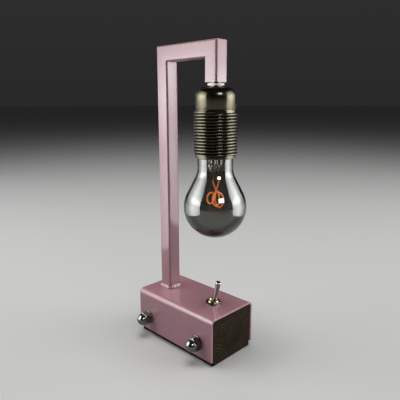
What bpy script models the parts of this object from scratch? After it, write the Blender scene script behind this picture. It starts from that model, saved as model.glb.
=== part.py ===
"""Lantern table lamp: a folded steel cover over a wood block, a square-tube gallows frame,
a threaded lampholder with a screw-in globe bulb, and a toggle switch beside the bulb.

Metres, +Z up. The origin is the middle of the block's resting face. +X runs along the base
from the post to the switch, and -Y is the long side that faces the user.
"""
from math import asin, cos, pi, radians, sin, sqrt, tan

import bmesh
import bpy
from mathutils import Matrix, Vector

# Base: cover and block
BASE_LENGTH = 0.1075
BASE_WIDTH = 0.060
COVER_TOP = 0.0487
COVER_LIFT = 0.0051
SHEET_THICKNESS = 0.002
BEND_RADIUS = 0.005
BEND_SEGMENTS = 6
BLOCK_RECESS = 0.0008
BLOCK_CHAMFER = 0.0008

# Clearances: between touching pieces, between stacked hardware, and past a cut face
FIT_GAP = 0.0003
STACK_GAP = 0.0002
OVERRUN = 0.002

# Tie rods across the base, with a washer and a dome nut at each end
ROD_DIAMETER = 0.008
ROD_HEIGHT = 0.0198
ROD_LEFT_INSET = 0.01415
ROD_RIGHT_INSET = 0.01885
ROD_CHAMFER = 0.0006
ROD_THREAD_DEPTH = 0.0085
WASHER_DIAMETER = 0.015
WASHER_THICKNESS = 0.0014
WASHER_EDGE = 0.0003
DOME_NUT_FLATS = 0.013
DOME_NUT_HEX_HEIGHT = 0.006
DOME_NUT_RADIUS = 0.0062
HEX_CORNER_SHARE = 0.94

# Frame of square tube
TUBE_SIDE = 0.015
TUBE_WALL = 0.0015
TUBE_CORNER = 0.002
TUBE_CORNER_SEGMENTS = 4
POST_INSET = 0.01719
ARM_REACH = 0.06611
DROP_LENGTH = 0.03675
BULB_CLEARANCE = 0.0701
PLUG_THICKNESS = 0.003
FLEX_HOLE_RADIUS = 0.0055

# Weld bead round the foot of the post
BEAD_WIDTH = 0.0028
BEAD_HEIGHT = 0.0030
BEAD_RIPPLE_SHARE = 0.13
BEAD_RIPPLES = 22
BEAD_SIDE_STEPS = 17
BEAD_SECTION_SHARES = ((0, 1), (0.40, 0.86), (0.78, 0.52), (1, 0))

# Toggle switch
SWITCH_INSET = 0.02595
BUSHING_RADIUS = 0.00595
BUSHING_ABOVE_COVER = 0.0034
BUSHING_CHAMFER = 0.0004
SWITCH_PLATE_DEPTH = 0.0031
SWITCH_PLATE_THICKNESS = 0.0012
SWITCH_PLATE_LENGTH = 0.0286
SWITCH_PLATE_WIDTH = 0.0148
SWITCH_BODY_LENGTH = 0.028
SWITCH_BODY_WIDTH = 0.0145
SWITCH_BODY_HEIGHT = 0.0149
SWITCH_BODY_ROUND = 0.0012
SWITCH_NUT_FLATS = 0.014
SWITCH_NUT_HEIGHT = 0.0016
BACK_NUT_HEIGHT = 0.0020
SWITCH_NUT_TURN = radians(-8)
LOCK_WASHER_RADIUS = 0.0078
LOCK_WASHER_THICKNESS = 0.0004
LUG_SPACING = 0.010
LUG_WIDTH = 0.0048
LUG_THICKNESS = 0.0008
LUG_LENGTH = 0.0065
LUG_EYE_RADIUS = 0.0011

# Toggle lever
LEVER_LEAN = radians(15)
LEVER_PIVOT_DEPTH = 0.0022
LEVER_LENGTH = 0.0274
LEVER_BALL_RADIUS = 0.0032
LEVER_NECK_RADIUS = 0.0014
LEVER_TIP_RADIUS = 0.00275
LEVER_TIP_ROUND = 0.0007
LEVER_TAIL_LENGTH = 0.0052
LEVER_TAIL_RADIUS = 0.0011
THROAT_RADIUS = 0.0029
THROAT_HEIGHT = 0.0019
THROAT_LENGTH = 0.0006
MOUTH_RADIUS = 0.0043

# Space in the block for the switch, the flex and the cord inlet
POCKET_END_ROOM = 0.0012
POCKET_SIDE_ROOM = 0.00135
POCKET_WIRE_ROOM = 0.007
POCKET_CORNER = 0.003
GROOVE_WIDTH = 0.0064
GROOVE_DEPTH = 0.007
WELL_RADIUS = 0.0065
WELL_FLOOR = 0.027
INLET_HEIGHT = 0.032
INLET_BORE_RADIUS = 0.0043
INLET_BUSH_RADIUS = 0.005
INLET_BUSH_LENGTH = 0.009
INLET_FLANGE_RADIUS = 0.0063
INLET_FLANGE_THICKNESS = 0.0012
INLET_MOUTH_RADIUS = 0.0033
INLET_MOUTH_ROUND = 0.0006

# Inner flex from the switch pocket to the lampholder
FLEX_RADIUS = 0.0025
FLEX_BEND = 0.0085
FLEX_BEND_POINTS = 5
FLEX_END_ROOM = 0.0027
FLEX_TAIL = 0.013

# Nipple and lock nut that hang the lampholder
NIPPLE_RADIUS = 0.005
NIPPLE_BORE_RADIUS = 0.0035
NIPPLE_INSIDE_TUBE = 0.0073
NIPPLE_INSIDE_DOME = 0.009
LOCK_NUT_FLATS = 0.015
LOCK_NUT_HEIGHT = 0.00305
LOCK_NUT_TURN = radians(-15)

# Lampholder: dome, threaded mantle and porcelain core
HOLDER_ROOT_RADIUS = 0.0188
DOME_HEIGHT = 0.0202
DOME_WALL = 0.0012
DOME_SEAT_RADIUS = 0.0090
DOME_SLOPE_DROP = 0.0005
DOME_SHOULDER_RADIUS = 0.0078
DOME_SHOULDER_SEGMENTS = 6
DOME_BOSS_RADIUS = 0.0080
DOME_BOSS_DEPTH = 0.0071
MANTLE_CORE_ROOM = 0.0013
MANTLE_INNER_RADIUS = 0.0170
MANTLE_MOUTH_RADIUS = 0.0178
MANTLE_MOUTH_DEPTH = 0.0071
MANTLE_LEDGE_RADIUS = 0.0154
MANTLE_LEDGE_THICKNESS = 0.0014
MANTLE_RIM_RADIUS = 0.0190
MANTLE_RIM_HEIGHT = 0.0029
MANTLE_RIM_ROUND = 0.0003
MANTLE_COLLAR_HEIGHT = 0.0064
MANTLE_COLLAR_INNER = 0.0159
MANTLE_COLLAR_DROP = 0.0021
MANTLE_CREST_RADIUS = 0.0203
MANTLE_PITCH = 0.00275
MANTLE_THREAD_MARGIN = 0.001365
MANTLE_THREAD_FOOT_SHARE = 0.86
MANTLE_THREAD_CREST_SHARE = 0
MANTLE_THREAD_START = 0.00256
MANTLE_THREAD_PHASE = radians(-207)
CORE_CONTACT_ROOM = 0.0022
CORE_ROOF = 0.007
CORE_NECK_RADIUS = 0.0115
SHELL_INNER_RADIUS = 0.0124
SHELL_GROOVE_RADIUS = 0.01345
SHELL_OUTER_RADIUS = 0.0141
SHELL_HEIGHT = 0.0174
SHELL_LIFT = 0.0008
TERMINAL_SPREAD = 0.008
TERMINAL_HEAD_RADIUS = 0.0028
TERMINAL_HEAD_HEIGHT = 0.0020
TERMINAL_SLOT_WIDTH = 0.0008
TERMINAL_SLOT_DEPTH = 0.0009
CENTRE_CONTACT_RADIUS = 0.0048
CENTRE_CONTACT_DISH_RADIUS = 0.0024
CENTRE_CONTACT_RIM_RADIUS = 0.00336
CENTRE_CONTACT_DEPTH = 0.0011
CENTRE_CONTACT_THICKNESS = 0.0005

# Edison thread shared by the bulb's cap and the holder's shell
EDISON_PITCH = 0.003629
CAP_ROOT_RADIUS = 0.0121
CAP_CREST_RADIUS = 0.01315
CAP_INNER_RADIUS = 0.0117
CAP_RIM_RADIUS = 0.0130
CAP_RIM_HEIGHT = 0.0018
CAP_HEIGHT = 0.0182
CAP_LIP_RADIUS = 0.0102
CAP_LIP_THICKNESS = 0.0005
CAP_SHOULDER = 0.0012
CAP_THREAD_START = 0.0032
CAP_THREAD_TURNS = 3.25
CAP_THREAD_FOOT_SHARE = 0.56
CAP_THREAD_CREST_SHARE = 0.22
GROOVE_THREAD_FOOT_SHARE = 0.84
GROOVE_THREAD_CREST_SHARE = 0.48
INSULATOR_PLUG_RADIUS = 0.0099
INSULATOR_BASE_RADIUS = 0.0106
INSULATOR_TOP_RADIUS = 0.0052
INSULATOR_HEIGHT = 0.0034
INSULATOR_EDGE = 0.0006
TIP_RADIUS = 0.0046
TIP_HEIGHT = 0.0017
TIP_OUTLINE_SHARES = ((0, 1), (0.45, 0.92), (0.85, 0.6), (1, 0.25), (1, 0))

# Bulb glass: a sphere, a cone, a neck and a shoulder that enters the cap
BULB_RADIUS = 0.030
BULB_NECK_LENGTH = 0.0114042
BULB_CONE_ANGLE = radians(27.5)
BULB_NECK_RADIUS = 0.01685
BULB_NECK_FILLET = 0.020
BULB_SHOULDER_RADIUS = 0.0042
BULB_SHOULDER_START = 0.0056
BULB_SHOULDER_TURN = radians(75)
BULB_TAIL_RADIUS = 0.01145
BULB_TAIL_HEIGHT = 0.0036
BULB_WALL = 0.0009
BULB_ARC_STEP = radians(15)

# Inside the bulb: glass stem, two leads and a curled filament
STEM_FLARE_RADIUS = 0.0112
STEM_TUBE_RADIUS = 0.0056
STEM_ROOT_RADIUS = 0.0067
STEM_WAIST_HALF_DEPTH = 0.0050
STEM_CREASE_HALF_WIDTH = 0.0045
STEM_CREASE_HALF_DEPTH = 0.0020
STEM_TUBE_END = 0.0158
STEM_PINCH_END = 0.0230
STEM_PINCH_HALF_WIDTH = 0.0036
STEM_PINCH_HALF_DEPTH = 0.0014
LEAD_RADIUS = 0.0004
LEAD_SPREAD = 0.0029
LEAD_ROOT = 0.0012
LEAD_ELBOW_DROP = 0.0308
LEAD_END_DROP = 0.0393
LEAD_END_GAP = 0.0009
FILAMENT_RADIUS = 0.0008
FILAMENT_COIL_RADIUS = 0.0060
FILAMENT_COIL_LENGTH = 0.0126
FILAMENT_TURNS = 3
FILAMENT_STEPS = 14
FILAMENT_RISE = 0.0004

# Facets round turned pieces, by size
SMALL_STEPS = 16
MIDDLE_STEPS = 20
LARGE_STEPS = 24
GLOBE_STEPS = 24
THREAD_STEPS = 24
THREAD_FADE_TURNS = 0.35
THREAD_FADE_FLOOR = 0.05
MERGE_DISTANCE = 0.000001
SMOOTH_ANGLE = radians(35)
PARALLEL_SHARE = 0.99

# Colours from the photograph, linear RGB
PAINT = (0.42, 0.27, 0.29)
DARK_WOOD = (0.035, 0.024, 0.017)
CHROME = (0.72, 0.72, 0.72)
STEEL = (0.45, 0.45, 0.46)
BRASS = (0.68, 0.47, 0.18)
BLACK_CHROME = (0.20, 0.20, 0.195)
PORCELAIN = (0.80, 0.79, 0.75)
BLACK_PLASTIC = (0.02, 0.02, 0.02)
SMOKED_GLASS = (0.30, 0.31, 0.31)
CLEAR_GLASS = (0.75, 0.78, 0.78)
AMBER = (1.00, 0.36, 0.10)
NICKEL = (0.62, 0.60, 0.55)


def new_collection(name):
    collection = bpy.data.collections.new(name)
    bpy.context.scene.collection.children.link(collection)
    return collection


def clear_scene():
    for item in list(bpy.data.objects):
        bpy.data.objects.remove(item, do_unlink=True)
    for group in list(bpy.data.collections):
        bpy.data.collections.remove(group)


def make_material(name, colour, roughness, metallic, alpha=1):
    material = bpy.data.materials.new(name)
    material.use_nodes = True
    shader = material.node_tree.nodes["Principled BSDF"]
    shader.inputs["Base Color"].default_value = (*colour, 1)
    shader.inputs["Roughness"].default_value = roughness
    shader.inputs["Metallic"].default_value = metallic
    shader.inputs["Alpha"].default_value = alpha
    return material


def add_object(name, mesh, look=None, location=(0, 0, 0), rotation=(0, 0, 0), parent=None):
    """Link a mesh as a part with its own material, or as a hidden cutter if it has no look."""
    item = bpy.data.objects.new(name, mesh)
    item.location = location
    item.rotation_euler = rotation
    item.parent = parent
    if look:
        mesh.materials.append(make_material(name, *look))
        PARTS.objects.link(item)
    else:
        item.hide_render = True
        item.display_type = "WIRE"
        CUTTERS.objects.link(item)
    return item


def mesh_from(bm, name, smooth=True):
    bmesh.ops.recalc_face_normals(bm, faces=bm.faces)
    mesh = bpy.data.meshes.new(name)
    bm.to_mesh(mesh)
    bm.free()
    if smooth:
        mesh.shade_smooth()
        mesh.set_sharp_from_angle(angle=SMOOTH_ANGLE)
    return mesh


def box_mesh(name, size, centre, rounding=0, segments=1, edges="ALL"):
    """A box by size and centre, with its edges (all, or those along one axis) rounded."""
    bm = bmesh.new()
    bmesh.ops.create_cube(bm, size=1, matrix=Matrix.Translation(centre) @ Matrix.Diagonal((*size, 1)))
    if rounding:
        chosen = [edge for edge in bm.edges if edges == "ALL" or edge_runs_along(edge, "XYZ".index(edges))]
        bmesh.ops.bevel(bm, geom=chosen, offset=rounding, segments=segments, profile=0.5,
                        affect="EDGES", clamp_overlap=True)
    return mesh_from(bm, name, smooth=False)


def edge_runs_along(edge, axis):
    direction = (edge.verts[1].co - edge.verts[0].co).normalized()
    return abs(direction[axis]) > PARALLEL_SHARE


def cylinder_mesh(name, radius, low, high, steps=MIDDLE_STEPS, turn=0):
    """An upright cylinder, or a prism for few steps, between two heights."""
    bm = bmesh.new()
    place = Matrix.Translation((0, 0, (low + high) / 2)) @ Matrix.Rotation(turn, 4, "Z")
    bmesh.ops.create_cone(bm, cap_ends=True, segments=steps, radius1=radius, radius2=radius,
                          depth=high - low, matrix=place)
    return mesh_from(bm, name)


def profile_mesh(name, points, closed):
    """An edge loop of (radius, height) points for the Screw modifier."""
    mesh = bpy.data.meshes.new(name)
    count = len(points)
    edges = [(i, (i + 1) % count) for i in range(count if closed else count - 1)]
    mesh.from_pydata([(radius, 0, height) for radius, height in points], edges, [])
    return mesh


def turn_profile(item, steps):
    screw = item.modifiers.new("Turn", "SCREW")
    screw.steps = steps
    screw.render_steps = steps
    screw.use_merge_vertices = True
    screw.merge_threshold = MERGE_DISTANCE
    screw.use_smooth_shade = True
    return item


def turned(name, points, look=None, steps=MIDDLE_STEPS, closed=True, **placing):
    """A turned piece. The profile runs down its outer side; a closed one is a ring's section."""
    return turn_profile(add_object(name, profile_mesh(name, points, closed), look, **placing), steps)


def boolean(item, cutter, operation="DIFFERENCE"):
    cut = item.modifiers.new(operation.title() + " " + cutter.name, "BOOLEAN")
    cut.operation = operation
    cut.object = cutter
    cut.solver = "EXACT"
    return item


def loft_mesh(name, sections, looped):
    """Skin equal rings of points. A looped loft returns to its first ring; others get end faces."""
    bm = bmesh.new()
    rings = [[bm.verts.new(point) for point in section] for section in sections]
    count = len(rings[0])
    pairs = list(zip(rings, rings[1:]))
    if looped:
        pairs.append((rings[-1], rings[0]))
    for ring, following in pairs:
        for i in range(count):
            j = (i + 1) % count
            bm.faces.new((ring[i], ring[j], following[j], following[i]))
    if not looped:
        bm.faces.new(rings[0])
        bm.faces.new(rings[-1])
    return mesh_from(bm, name)


def thread_mesh(name, root, crest, buried, pitch, start, turns, foot, flat, phase=0):
    """A right-hand helical ridge that fades in and out. A share of the pitch sets its foot and flat."""
    steps = round(turns * THREAD_STEPS)
    sections = []
    for step in range(steps + 1):
        turn = turns * step / steps
        angle = phase + 2 * pi * turn
        height = start + pitch * turn
        fade = min(1, turn / THREAD_FADE_TURNS, (turns - turn) / THREAD_FADE_TURNS)
        top = buried + (crest - buried) * max(fade, THREAD_FADE_FLOOR)
        spread = foot + (foot - flat) * (root - buried) / (crest - root)
        narrow = spread - (spread - flat) * (top - buried) / (crest - buried)
        blunt = ((top, -narrow), (top, narrow)) if flat else ((top, 0),)
        outline = ((buried, -spread), *blunt, (buried, spread))
        sections.append([(radius * cos(angle), radius * sin(angle), height + share * pitch / 2)
                         for radius, share in outline])
    return loft_mesh(name, sections, looped=False)


def arc(centre, radius, first, last, segments):
    """Points of an arc in the (radius, height) plane, both ends included."""
    cx, cz = centre
    angles = [first + (last - first) * i / segments for i in range(segments + 1)]
    return [(cx + radius * cos(angle), cz + radius * sin(angle)) for angle in angles]


def curve_mesh(name, points, radius, resolution=2):
    """A round bar along a line of points, as one welded mesh."""
    curve = bpy.data.curves.new(name, "CURVE")
    curve.dimensions = "3D"
    curve.bevel_depth = radius
    curve.bevel_resolution = resolution
    curve.use_fill_caps = True
    spline = curve.splines.new("POLY")
    spline.points.add(len(points) - 1)
    for target, point in zip(spline.points, points):
        target.co = (*point, 1)
    return curve_to_mesh(name, curve)


def curve_to_mesh(name, curve):
    """Freeze a curve as a mesh with its caps welded, so that it can be cut."""
    holder = bpy.data.objects.new(name + "_curve", curve)
    CUTTERS.objects.link(holder)
    bpy.context.view_layer.update()
    evaluated = holder.evaluated_get(bpy.context.evaluated_depsgraph_get())
    mesh = bpy.data.meshes.new_from_object(evaluated)
    bpy.data.objects.remove(holder, do_unlink=True)
    bm = bmesh.new()
    bm.from_mesh(mesh)
    bmesh.ops.remove_doubles(bm, verts=bm.verts, dist=MERGE_DISTANCE)
    bpy.data.meshes.remove(mesh)
    return mesh_from(bm, name)


# Heights and looks that follow from the dimensions
ROD_LEFT_X = ROD_LEFT_INSET - BASE_LENGTH / 2
ROD_RIGHT_X = BASE_LENGTH / 2 - ROD_RIGHT_INSET
POST_X = POST_INSET - BASE_LENGTH / 2
DROP_X = POST_X + ARM_REACH
SWITCH_X = BASE_LENGTH / 2 - SWITCH_INSET
COVER_UNDERSIDE = COVER_TOP - SHEET_THICKNESS
SWITCH_PLATE_TOP = COVER_UNDERSIDE - SWITCH_PLATE_DEPTH
SWITCH_PLATE_BOTTOM = SWITCH_PLATE_TOP - SWITCH_PLATE_THICKNESS
SWITCH_BODY_TOP = SWITCH_PLATE_BOTTOM - STACK_GAP
SWITCH_BODY_BOTTOM = SWITCH_BODY_TOP - SWITCH_BODY_HEIGHT
POCKET_LENGTH = SWITCH_PLATE_LENGTH + 2 * POCKET_END_ROOM
POCKET_WIDTH = SWITCH_PLATE_WIDTH + 2 * POCKET_SIDE_ROOM
POCKET_FLOOR = SWITCH_BODY_BOTTOM - FIT_GAP - LUG_LENGTH - POCKET_WIRE_ROOM
FLEX_START_X = SWITCH_X - POCKET_LENGTH / 2 - FLEX_END_ROOM
BLOCK_TOP = COVER_UNDERSIDE - FIT_GAP
BLOCK_LENGTH = BASE_LENGTH - 2 * BLOCK_RECESS
BLOCK_WIDTH = BASE_WIDTH - 2 * (SHEET_THICKNESS + FIT_GAP)
ROD_RADIUS = ROD_DIAMETER / 2
ROD_BORE = ROD_RADIUS + FIT_GAP
POST_BOTTOM = COVER_TOP + FIT_GAP
CAP_STACK = CAP_HEIGHT + INSULATOR_HEIGHT + TIP_HEIGHT + 2 * STACK_GAP
CAP_BELOW_CORE = FIT_GAP + CAP_RIM_HEIGHT - SHELL_LIFT
CORE_HEIGHT = CAP_STACK - CAP_BELOW_CORE + CORE_CONTACT_ROOM + CORE_ROOF
CORE_SEAT = MANTLE_MOUTH_DEPTH + MANTLE_LEDGE_THICKNESS + FIT_GAP
MANTLE_HEIGHT = CORE_SEAT + CORE_HEIGHT + MANTLE_CORE_ROOM + MANTLE_COLLAR_DROP
MANTLE_THREAD_TURNS = (MANTLE_HEIGHT - MANTLE_THREAD_START - MANTLE_THREAD_MARGIN) / MANTLE_PITCH
MANTLE_TOP = -DOME_HEIGHT - FIT_GAP
MANTLE_BOTTOM = MANTLE_TOP - MANTLE_HEIGHT
CORE_BOTTOM = MANTLE_BOTTOM + CORE_SEAT
SHELL_BOTTOM = CORE_BOTTOM + SHELL_LIFT
CAP_BOTTOM = CORE_BOTTOM - CAP_BELOW_CORE
BULB_FILLET_REACH = BULB_NECK_FILLET * tan(BULB_CONE_ANGLE / 2)
BULB_CONE_RADIUS = BULB_RADIUS * cos(BULB_CONE_ANGLE)
BULB_CONE_HEIGHT = (BULB_CONE_RADIUS - BULB_NECK_RADIUS) / tan(BULB_CONE_ANGLE)
BULB_NECK_END = BULB_SHOULDER_START + BULB_NECK_LENGTH
BULB_CENTRE_DROP = BULB_NECK_END + BULB_FILLET_REACH + BULB_CONE_HEIGHT + BULB_RADIUS * sin(BULB_CONE_ANGLE)
BULB_AXIS_HEIGHT = COVER_TOP + BULB_CLEARANCE + BULB_RADIUS + BULB_CENTRE_DROP
HOLDER_TOP = BULB_AXIS_HEIGHT - CAP_BOTTOM
HOLDER_NIPPLE_TOP = LOCK_NUT_HEIGHT + 2 * FIT_GAP + NIPPLE_INSIDE_TUBE
DROP_BOTTOM = HOLDER_TOP + LOCK_NUT_HEIGHT + 2 * FIT_GAP
FRAME_HEIGHT = DROP_BOTTOM + DROP_LENGTH
PIVOT_HEIGHT = COVER_TOP - LEVER_PIVOT_DEPTH
GROOVE_FLOOR = BLOCK_TOP - GROOVE_DEPTH
FLEX_HEIGHT = GROOVE_FLOOR + FLEX_RADIUS + FIT_GAP

PAINTED = (PAINT, 0.22, 0.0)
OILED = (DARK_WOOD, 0.55, 0.0)
POLISHED = (CHROME, 0.08, 1.0)
DULL_STEEL = (STEEL, 0.35, 1.0)
YELLOW_METAL = (BRASS, 0.30, 1.0)
DARK_CHROME = (BLACK_CHROME, 0.10, 1.0)
WHITE_CERAMIC = (PORCELAIN, 0.30, 0.0)
BLACK_MOULDING = (BLACK_PLASTIC, 0.40, 0.0)
SMOKED = (SMOKED_GLASS, 0.03, 0.0, 0.35)
CLEAR = (CLEAR_GLASS, 0.03, 0.0, 0.4)
GLOWING = (AMBER, 0.40, 0.0)
CAP_METAL = (NICKEL, 0.25, 1.0)


def through_width(name, radius, x):
    """A bore cutter along Y through the whole base."""
    reach = BASE_WIDTH / 2 + OVERRUN
    mesh = cylinder_mesh(name, radius, -reach, reach)
    return add_object(name, mesh, location=(x, 0, ROD_HEIGHT), rotation=(pi / 2, 0, 0))


def build_base():
    rod_bores = [through_width("cut_rod_left", ROD_BORE, ROD_LEFT_X),
                 through_width("cut_rod_right", ROD_BORE, ROD_RIGHT_X)]
    build_cover(rod_bores)
    build_block(rod_bores)
    build_inlet_bush()


def build_cover(rod_bores):
    """The sheet's outer outline is swept along X and thickened inward."""
    side = BASE_WIDTH / 2
    corner = COVER_TOP - BEND_RADIUS
    right = arc((side - BEND_RADIUS, corner), BEND_RADIUS, 0, pi / 2, BEND_SEGMENTS)
    outline = [(side, COVER_LIFT)] + right + [(-y, z) for y, z in reversed(right)] + [(-side, COVER_LIFT)]
    bm = bmesh.new()
    rows = [[bm.verts.new((x, y, z)) for y, z in outline] for x in (-BASE_LENGTH / 2, BASE_LENGTH / 2)]
    for i in range(len(outline) - 1):
        bm.faces.new((rows[0][i], rows[0][i + 1], rows[1][i + 1], rows[1][i]))
    mesh = bpy.data.meshes.new("base_cover")
    bmesh.ops.recalc_face_normals(bm, faces=bm.faces)
    outward = sum(face.normal.z for face in bm.faces)
    if outward < 0:
        bmesh.ops.reverse_faces(bm, faces=bm.faces)
    bm.to_mesh(mesh)
    bm.free()
    cover = add_object("base_cover", mesh, PAINTED)
    shell = cover.modifiers.new("Sheet", "SOLIDIFY")
    shell.thickness = SHEET_THICKNESS
    shell.offset = -1
    shell.use_even_offset = True
    low, high = COVER_UNDERSIDE - OVERRUN, COVER_TOP + OVERRUN
    switch_hole = add_object("cut_switch_hole", cylinder_mesh(
        "cut_switch_hole", BUSHING_RADIUS + FIT_GAP, low, high), location=(SWITCH_X, 0, 0))
    flex_hole = add_object("cut_flex_hole", cylinder_mesh(
        "cut_flex_hole", FLEX_HOLE_RADIUS, low, high), location=(POST_X, 0, 0))
    for cutter in rod_bores + [switch_hole, flex_hole]:
        boolean(cover, cutter)


def block_mesh():
    """A box whose two long top edges follow the sheet's inner bend, and whose other edges are broken."""
    bm = bmesh.new()
    size = Matrix.Diagonal((BLOCK_LENGTH, BLOCK_WIDTH, BLOCK_TOP, 1))
    bmesh.ops.create_cube(bm, size=1, matrix=Matrix.Translation((0, 0, BLOCK_TOP / 2)) @ size)
    upper = [edge for edge in bm.edges
             if edge_runs_along(edge, 0) and edge.verts[0].co.z > BLOCK_TOP / 2]
    bmesh.ops.bevel(bm, geom=upper, offset=BEND_RADIUS - SHEET_THICKNESS, segments=BEND_SEGMENTS,
                    profile=0.5, affect="EDGES")
    sharp = [edge for edge in bm.edges if edge.calc_face_angle() > radians(60)]
    bmesh.ops.bevel(bm, geom=sharp, offset=BLOCK_CHAMFER, segments=1, affect="EDGES")
    return mesh_from(bm, "wood_block", smooth=False)


def build_block(rod_bores):
    block = add_object("wood_block", block_mesh(), OILED)
    above = BLOCK_TOP + OVERRUN
    pocket = box_mesh("cut_pocket", (POCKET_LENGTH, POCKET_WIDTH, above - POCKET_FLOOR),
                      (SWITCH_X, 0, (above + POCKET_FLOOR) / 2), POCKET_CORNER, 3, edges="Z")
    groove_end = SWITCH_X - POCKET_LENGTH / 2 + OVERRUN
    groove = box_mesh("cut_groove", (groove_end - POST_X, GROOVE_WIDTH, above - GROOVE_FLOOR),
                      ((groove_end + POST_X) / 2, 0, (above + GROOVE_FLOOR) / 2))
    well = cylinder_mesh("cut_well", WELL_RADIUS, WELL_FLOOR, above)
    end = -BLOCK_LENGTH / 2
    bush_bore = INLET_BUSH_LENGTH + FIT_GAP
    inlet_steps = [
        ("cut_inlet", INLET_BORE_RADIUS, end - OVERRUN, POST_X),
        ("cut_inlet_bush", INLET_BUSH_RADIUS + FIT_GAP, end - OVERRUN, end + bush_bore),
        ("cut_inlet_flange", INLET_FLANGE_RADIUS + FIT_GAP, end - OVERRUN,
         end + INLET_FLANGE_THICKNESS + FIT_GAP),
    ]
    cutters = rod_bores + [
        add_object("cut_pocket", pocket),
        add_object("cut_groove", groove),
        add_object("cut_well", well, location=(POST_X, 0, 0)),
    ]
    for name, radius, low, high in inlet_steps:
        cutters.append(add_object(name, cylinder_mesh(name, radius, low, high),
                                  location=(0, 0, INLET_HEIGHT), rotation=(0, pi / 2, 0)))
    for cutter in cutters:
        boolean(block, cutter)


def build_inlet_bush():
    """A flanged plastic bush in the hidden end of the block, where the mains cord goes in."""
    profile = [
        (INLET_BUSH_RADIUS, INLET_BUSH_LENGTH),
        (INLET_BUSH_RADIUS, INLET_FLANGE_THICKNESS),
        (INLET_FLANGE_RADIUS, INLET_FLANGE_THICKNESS),
        (INLET_FLANGE_RADIUS, 0),
        (INLET_MOUTH_RADIUS + INLET_MOUTH_ROUND, 0),
        (INLET_MOUTH_RADIUS, INLET_MOUTH_ROUND),
        (INLET_MOUTH_RADIUS, INLET_BUSH_LENGTH),
    ]
    turned("cord_inlet_bush", profile, BLACK_MOULDING, location=(-BLOCK_LENGTH / 2, 0, INLET_HEIGHT),
           rotation=(0, pi / 2, 0))


def build_tie_rods():
    reach = BASE_WIDTH / 2 + 2 * STACK_GAP + WASHER_THICKNESS + ROD_THREAD_DEPTH - FIT_GAP
    profile = [
        (0, reach),
        (ROD_RADIUS - ROD_CHAMFER, reach),
        (ROD_RADIUS, reach - ROD_CHAMFER),
        (ROD_RADIUS, ROD_CHAMFER - reach),
        (ROD_RADIUS - ROD_CHAMFER, -reach),
        (0, -reach),
    ]
    nut = dome_nut_mesh()
    for side, x in (("left", ROD_LEFT_X), ("right", ROD_RIGHT_X)):
        turned("tie_rod_" + side, profile, DULL_STEEL, steps=SMALL_STEPS, closed=False,
               location=(x, 0, ROD_HEIGHT), rotation=(pi / 2, 0, 0))
        for face, facing in (("front", -1), ("back", 1)):
            label = side + "_" + face
            seat = facing * (BASE_WIDTH / 2 + STACK_GAP)
            outward = (-facing * pi / 2, 0, 0)
            build_washer("rod_washer_" + label, (x, seat, ROD_HEIGHT), outward)
            nut_seat = seat + facing * (WASHER_THICKNESS + STACK_GAP)
            add_object("dome_nut_" + label, nut.copy(), POLISHED, (x, nut_seat, ROD_HEIGHT), outward)


def build_washer(name, location, rotation):
    """A flat washer with a chamfered outer edge on its free face."""
    radius = WASHER_DIAMETER / 2
    profile = [
        (radius - WASHER_EDGE, WASHER_THICKNESS),
        (radius, WASHER_THICKNESS - WASHER_EDGE),
        (radius, 0),
        (ROD_BORE, 0),
        (ROD_BORE, WASHER_THICKNESS),
    ]
    turned(name, profile, POLISHED, steps=SMALL_STEPS, location=location, rotation=rotation)


def frozen(item):
    """The evaluated mesh of a helper object, which is then removed."""
    bpy.context.view_layer.update()
    mesh = bpy.data.meshes.new_from_object(item.evaluated_get(bpy.context.evaluated_depsgraph_get()))
    bpy.data.objects.remove(item, do_unlink=True)
    return mesh


def dome_nut_mesh():
    """A hexagon with turned corners, joined to a dome, with a blind threaded hole from below."""
    corner = DOME_NUT_FLATS / sqrt(3)
    hexagon = add_object("nut_hexagon", cylinder_mesh("nut_hexagon", corner, 0, DOME_NUT_HEX_HEIGHT, steps=6))
    edge = corner * (1 - HEX_CORNER_SHARE)
    turned_corners = turned("cut_nut_corners", [
        (0, DOME_NUT_HEX_HEIGHT + OVERRUN),
        (corner * HEX_CORNER_SHARE - OVERRUN, DOME_NUT_HEX_HEIGHT + OVERRUN / 2),
        (corner * HEX_CORNER_SHARE, DOME_NUT_HEX_HEIGHT),
        (corner + edge, DOME_NUT_HEX_HEIGHT - edge),
        (corner + edge, edge),
        (corner * HEX_CORNER_SHARE, 0),
        (0, 0),
    ], steps=SMALL_STEPS, closed=False)
    boolean(hexagon, turned_corners, "INTERSECT")
    base = DOME_NUT_HEX_HEIGHT - edge
    dome = turned("nut_dome", list(reversed(arc((0, DOME_NUT_HEX_HEIGHT), DOME_NUT_RADIUS, 0, pi / 2, 6)))
                  + [(DOME_NUT_RADIUS, base), (0, base)], steps=SMALL_STEPS, closed=False)
    boolean(hexagon, dome, "UNION")
    bore = add_object("cut_nut_bore", cylinder_mesh("cut_nut_bore", ROD_BORE, -OVERRUN, ROD_THREAD_DEPTH,
                                                    steps=SMALL_STEPS))
    boolean(hexagon, bore)
    return frozen(hexagon)


def hex_nut(name, flats, height, bore, look, **placing):
    corner = flats / sqrt(3)
    edge = corner * (1 - HEX_CORNER_SHARE)
    nut = add_object(name, cylinder_mesh(name, corner, 0, height, steps=6), look, **placing)
    shaper = turned("cut_" + name, [
        (corner * HEX_CORNER_SHARE, height),
        (corner + edge, height - edge),
        (corner + edge, edge),
        (corner * HEX_CORNER_SHARE, 0),
        (bore, 0),
        (bore, height),
    ], **placing)
    boolean(nut, shaper, "INTERSECT")


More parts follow.
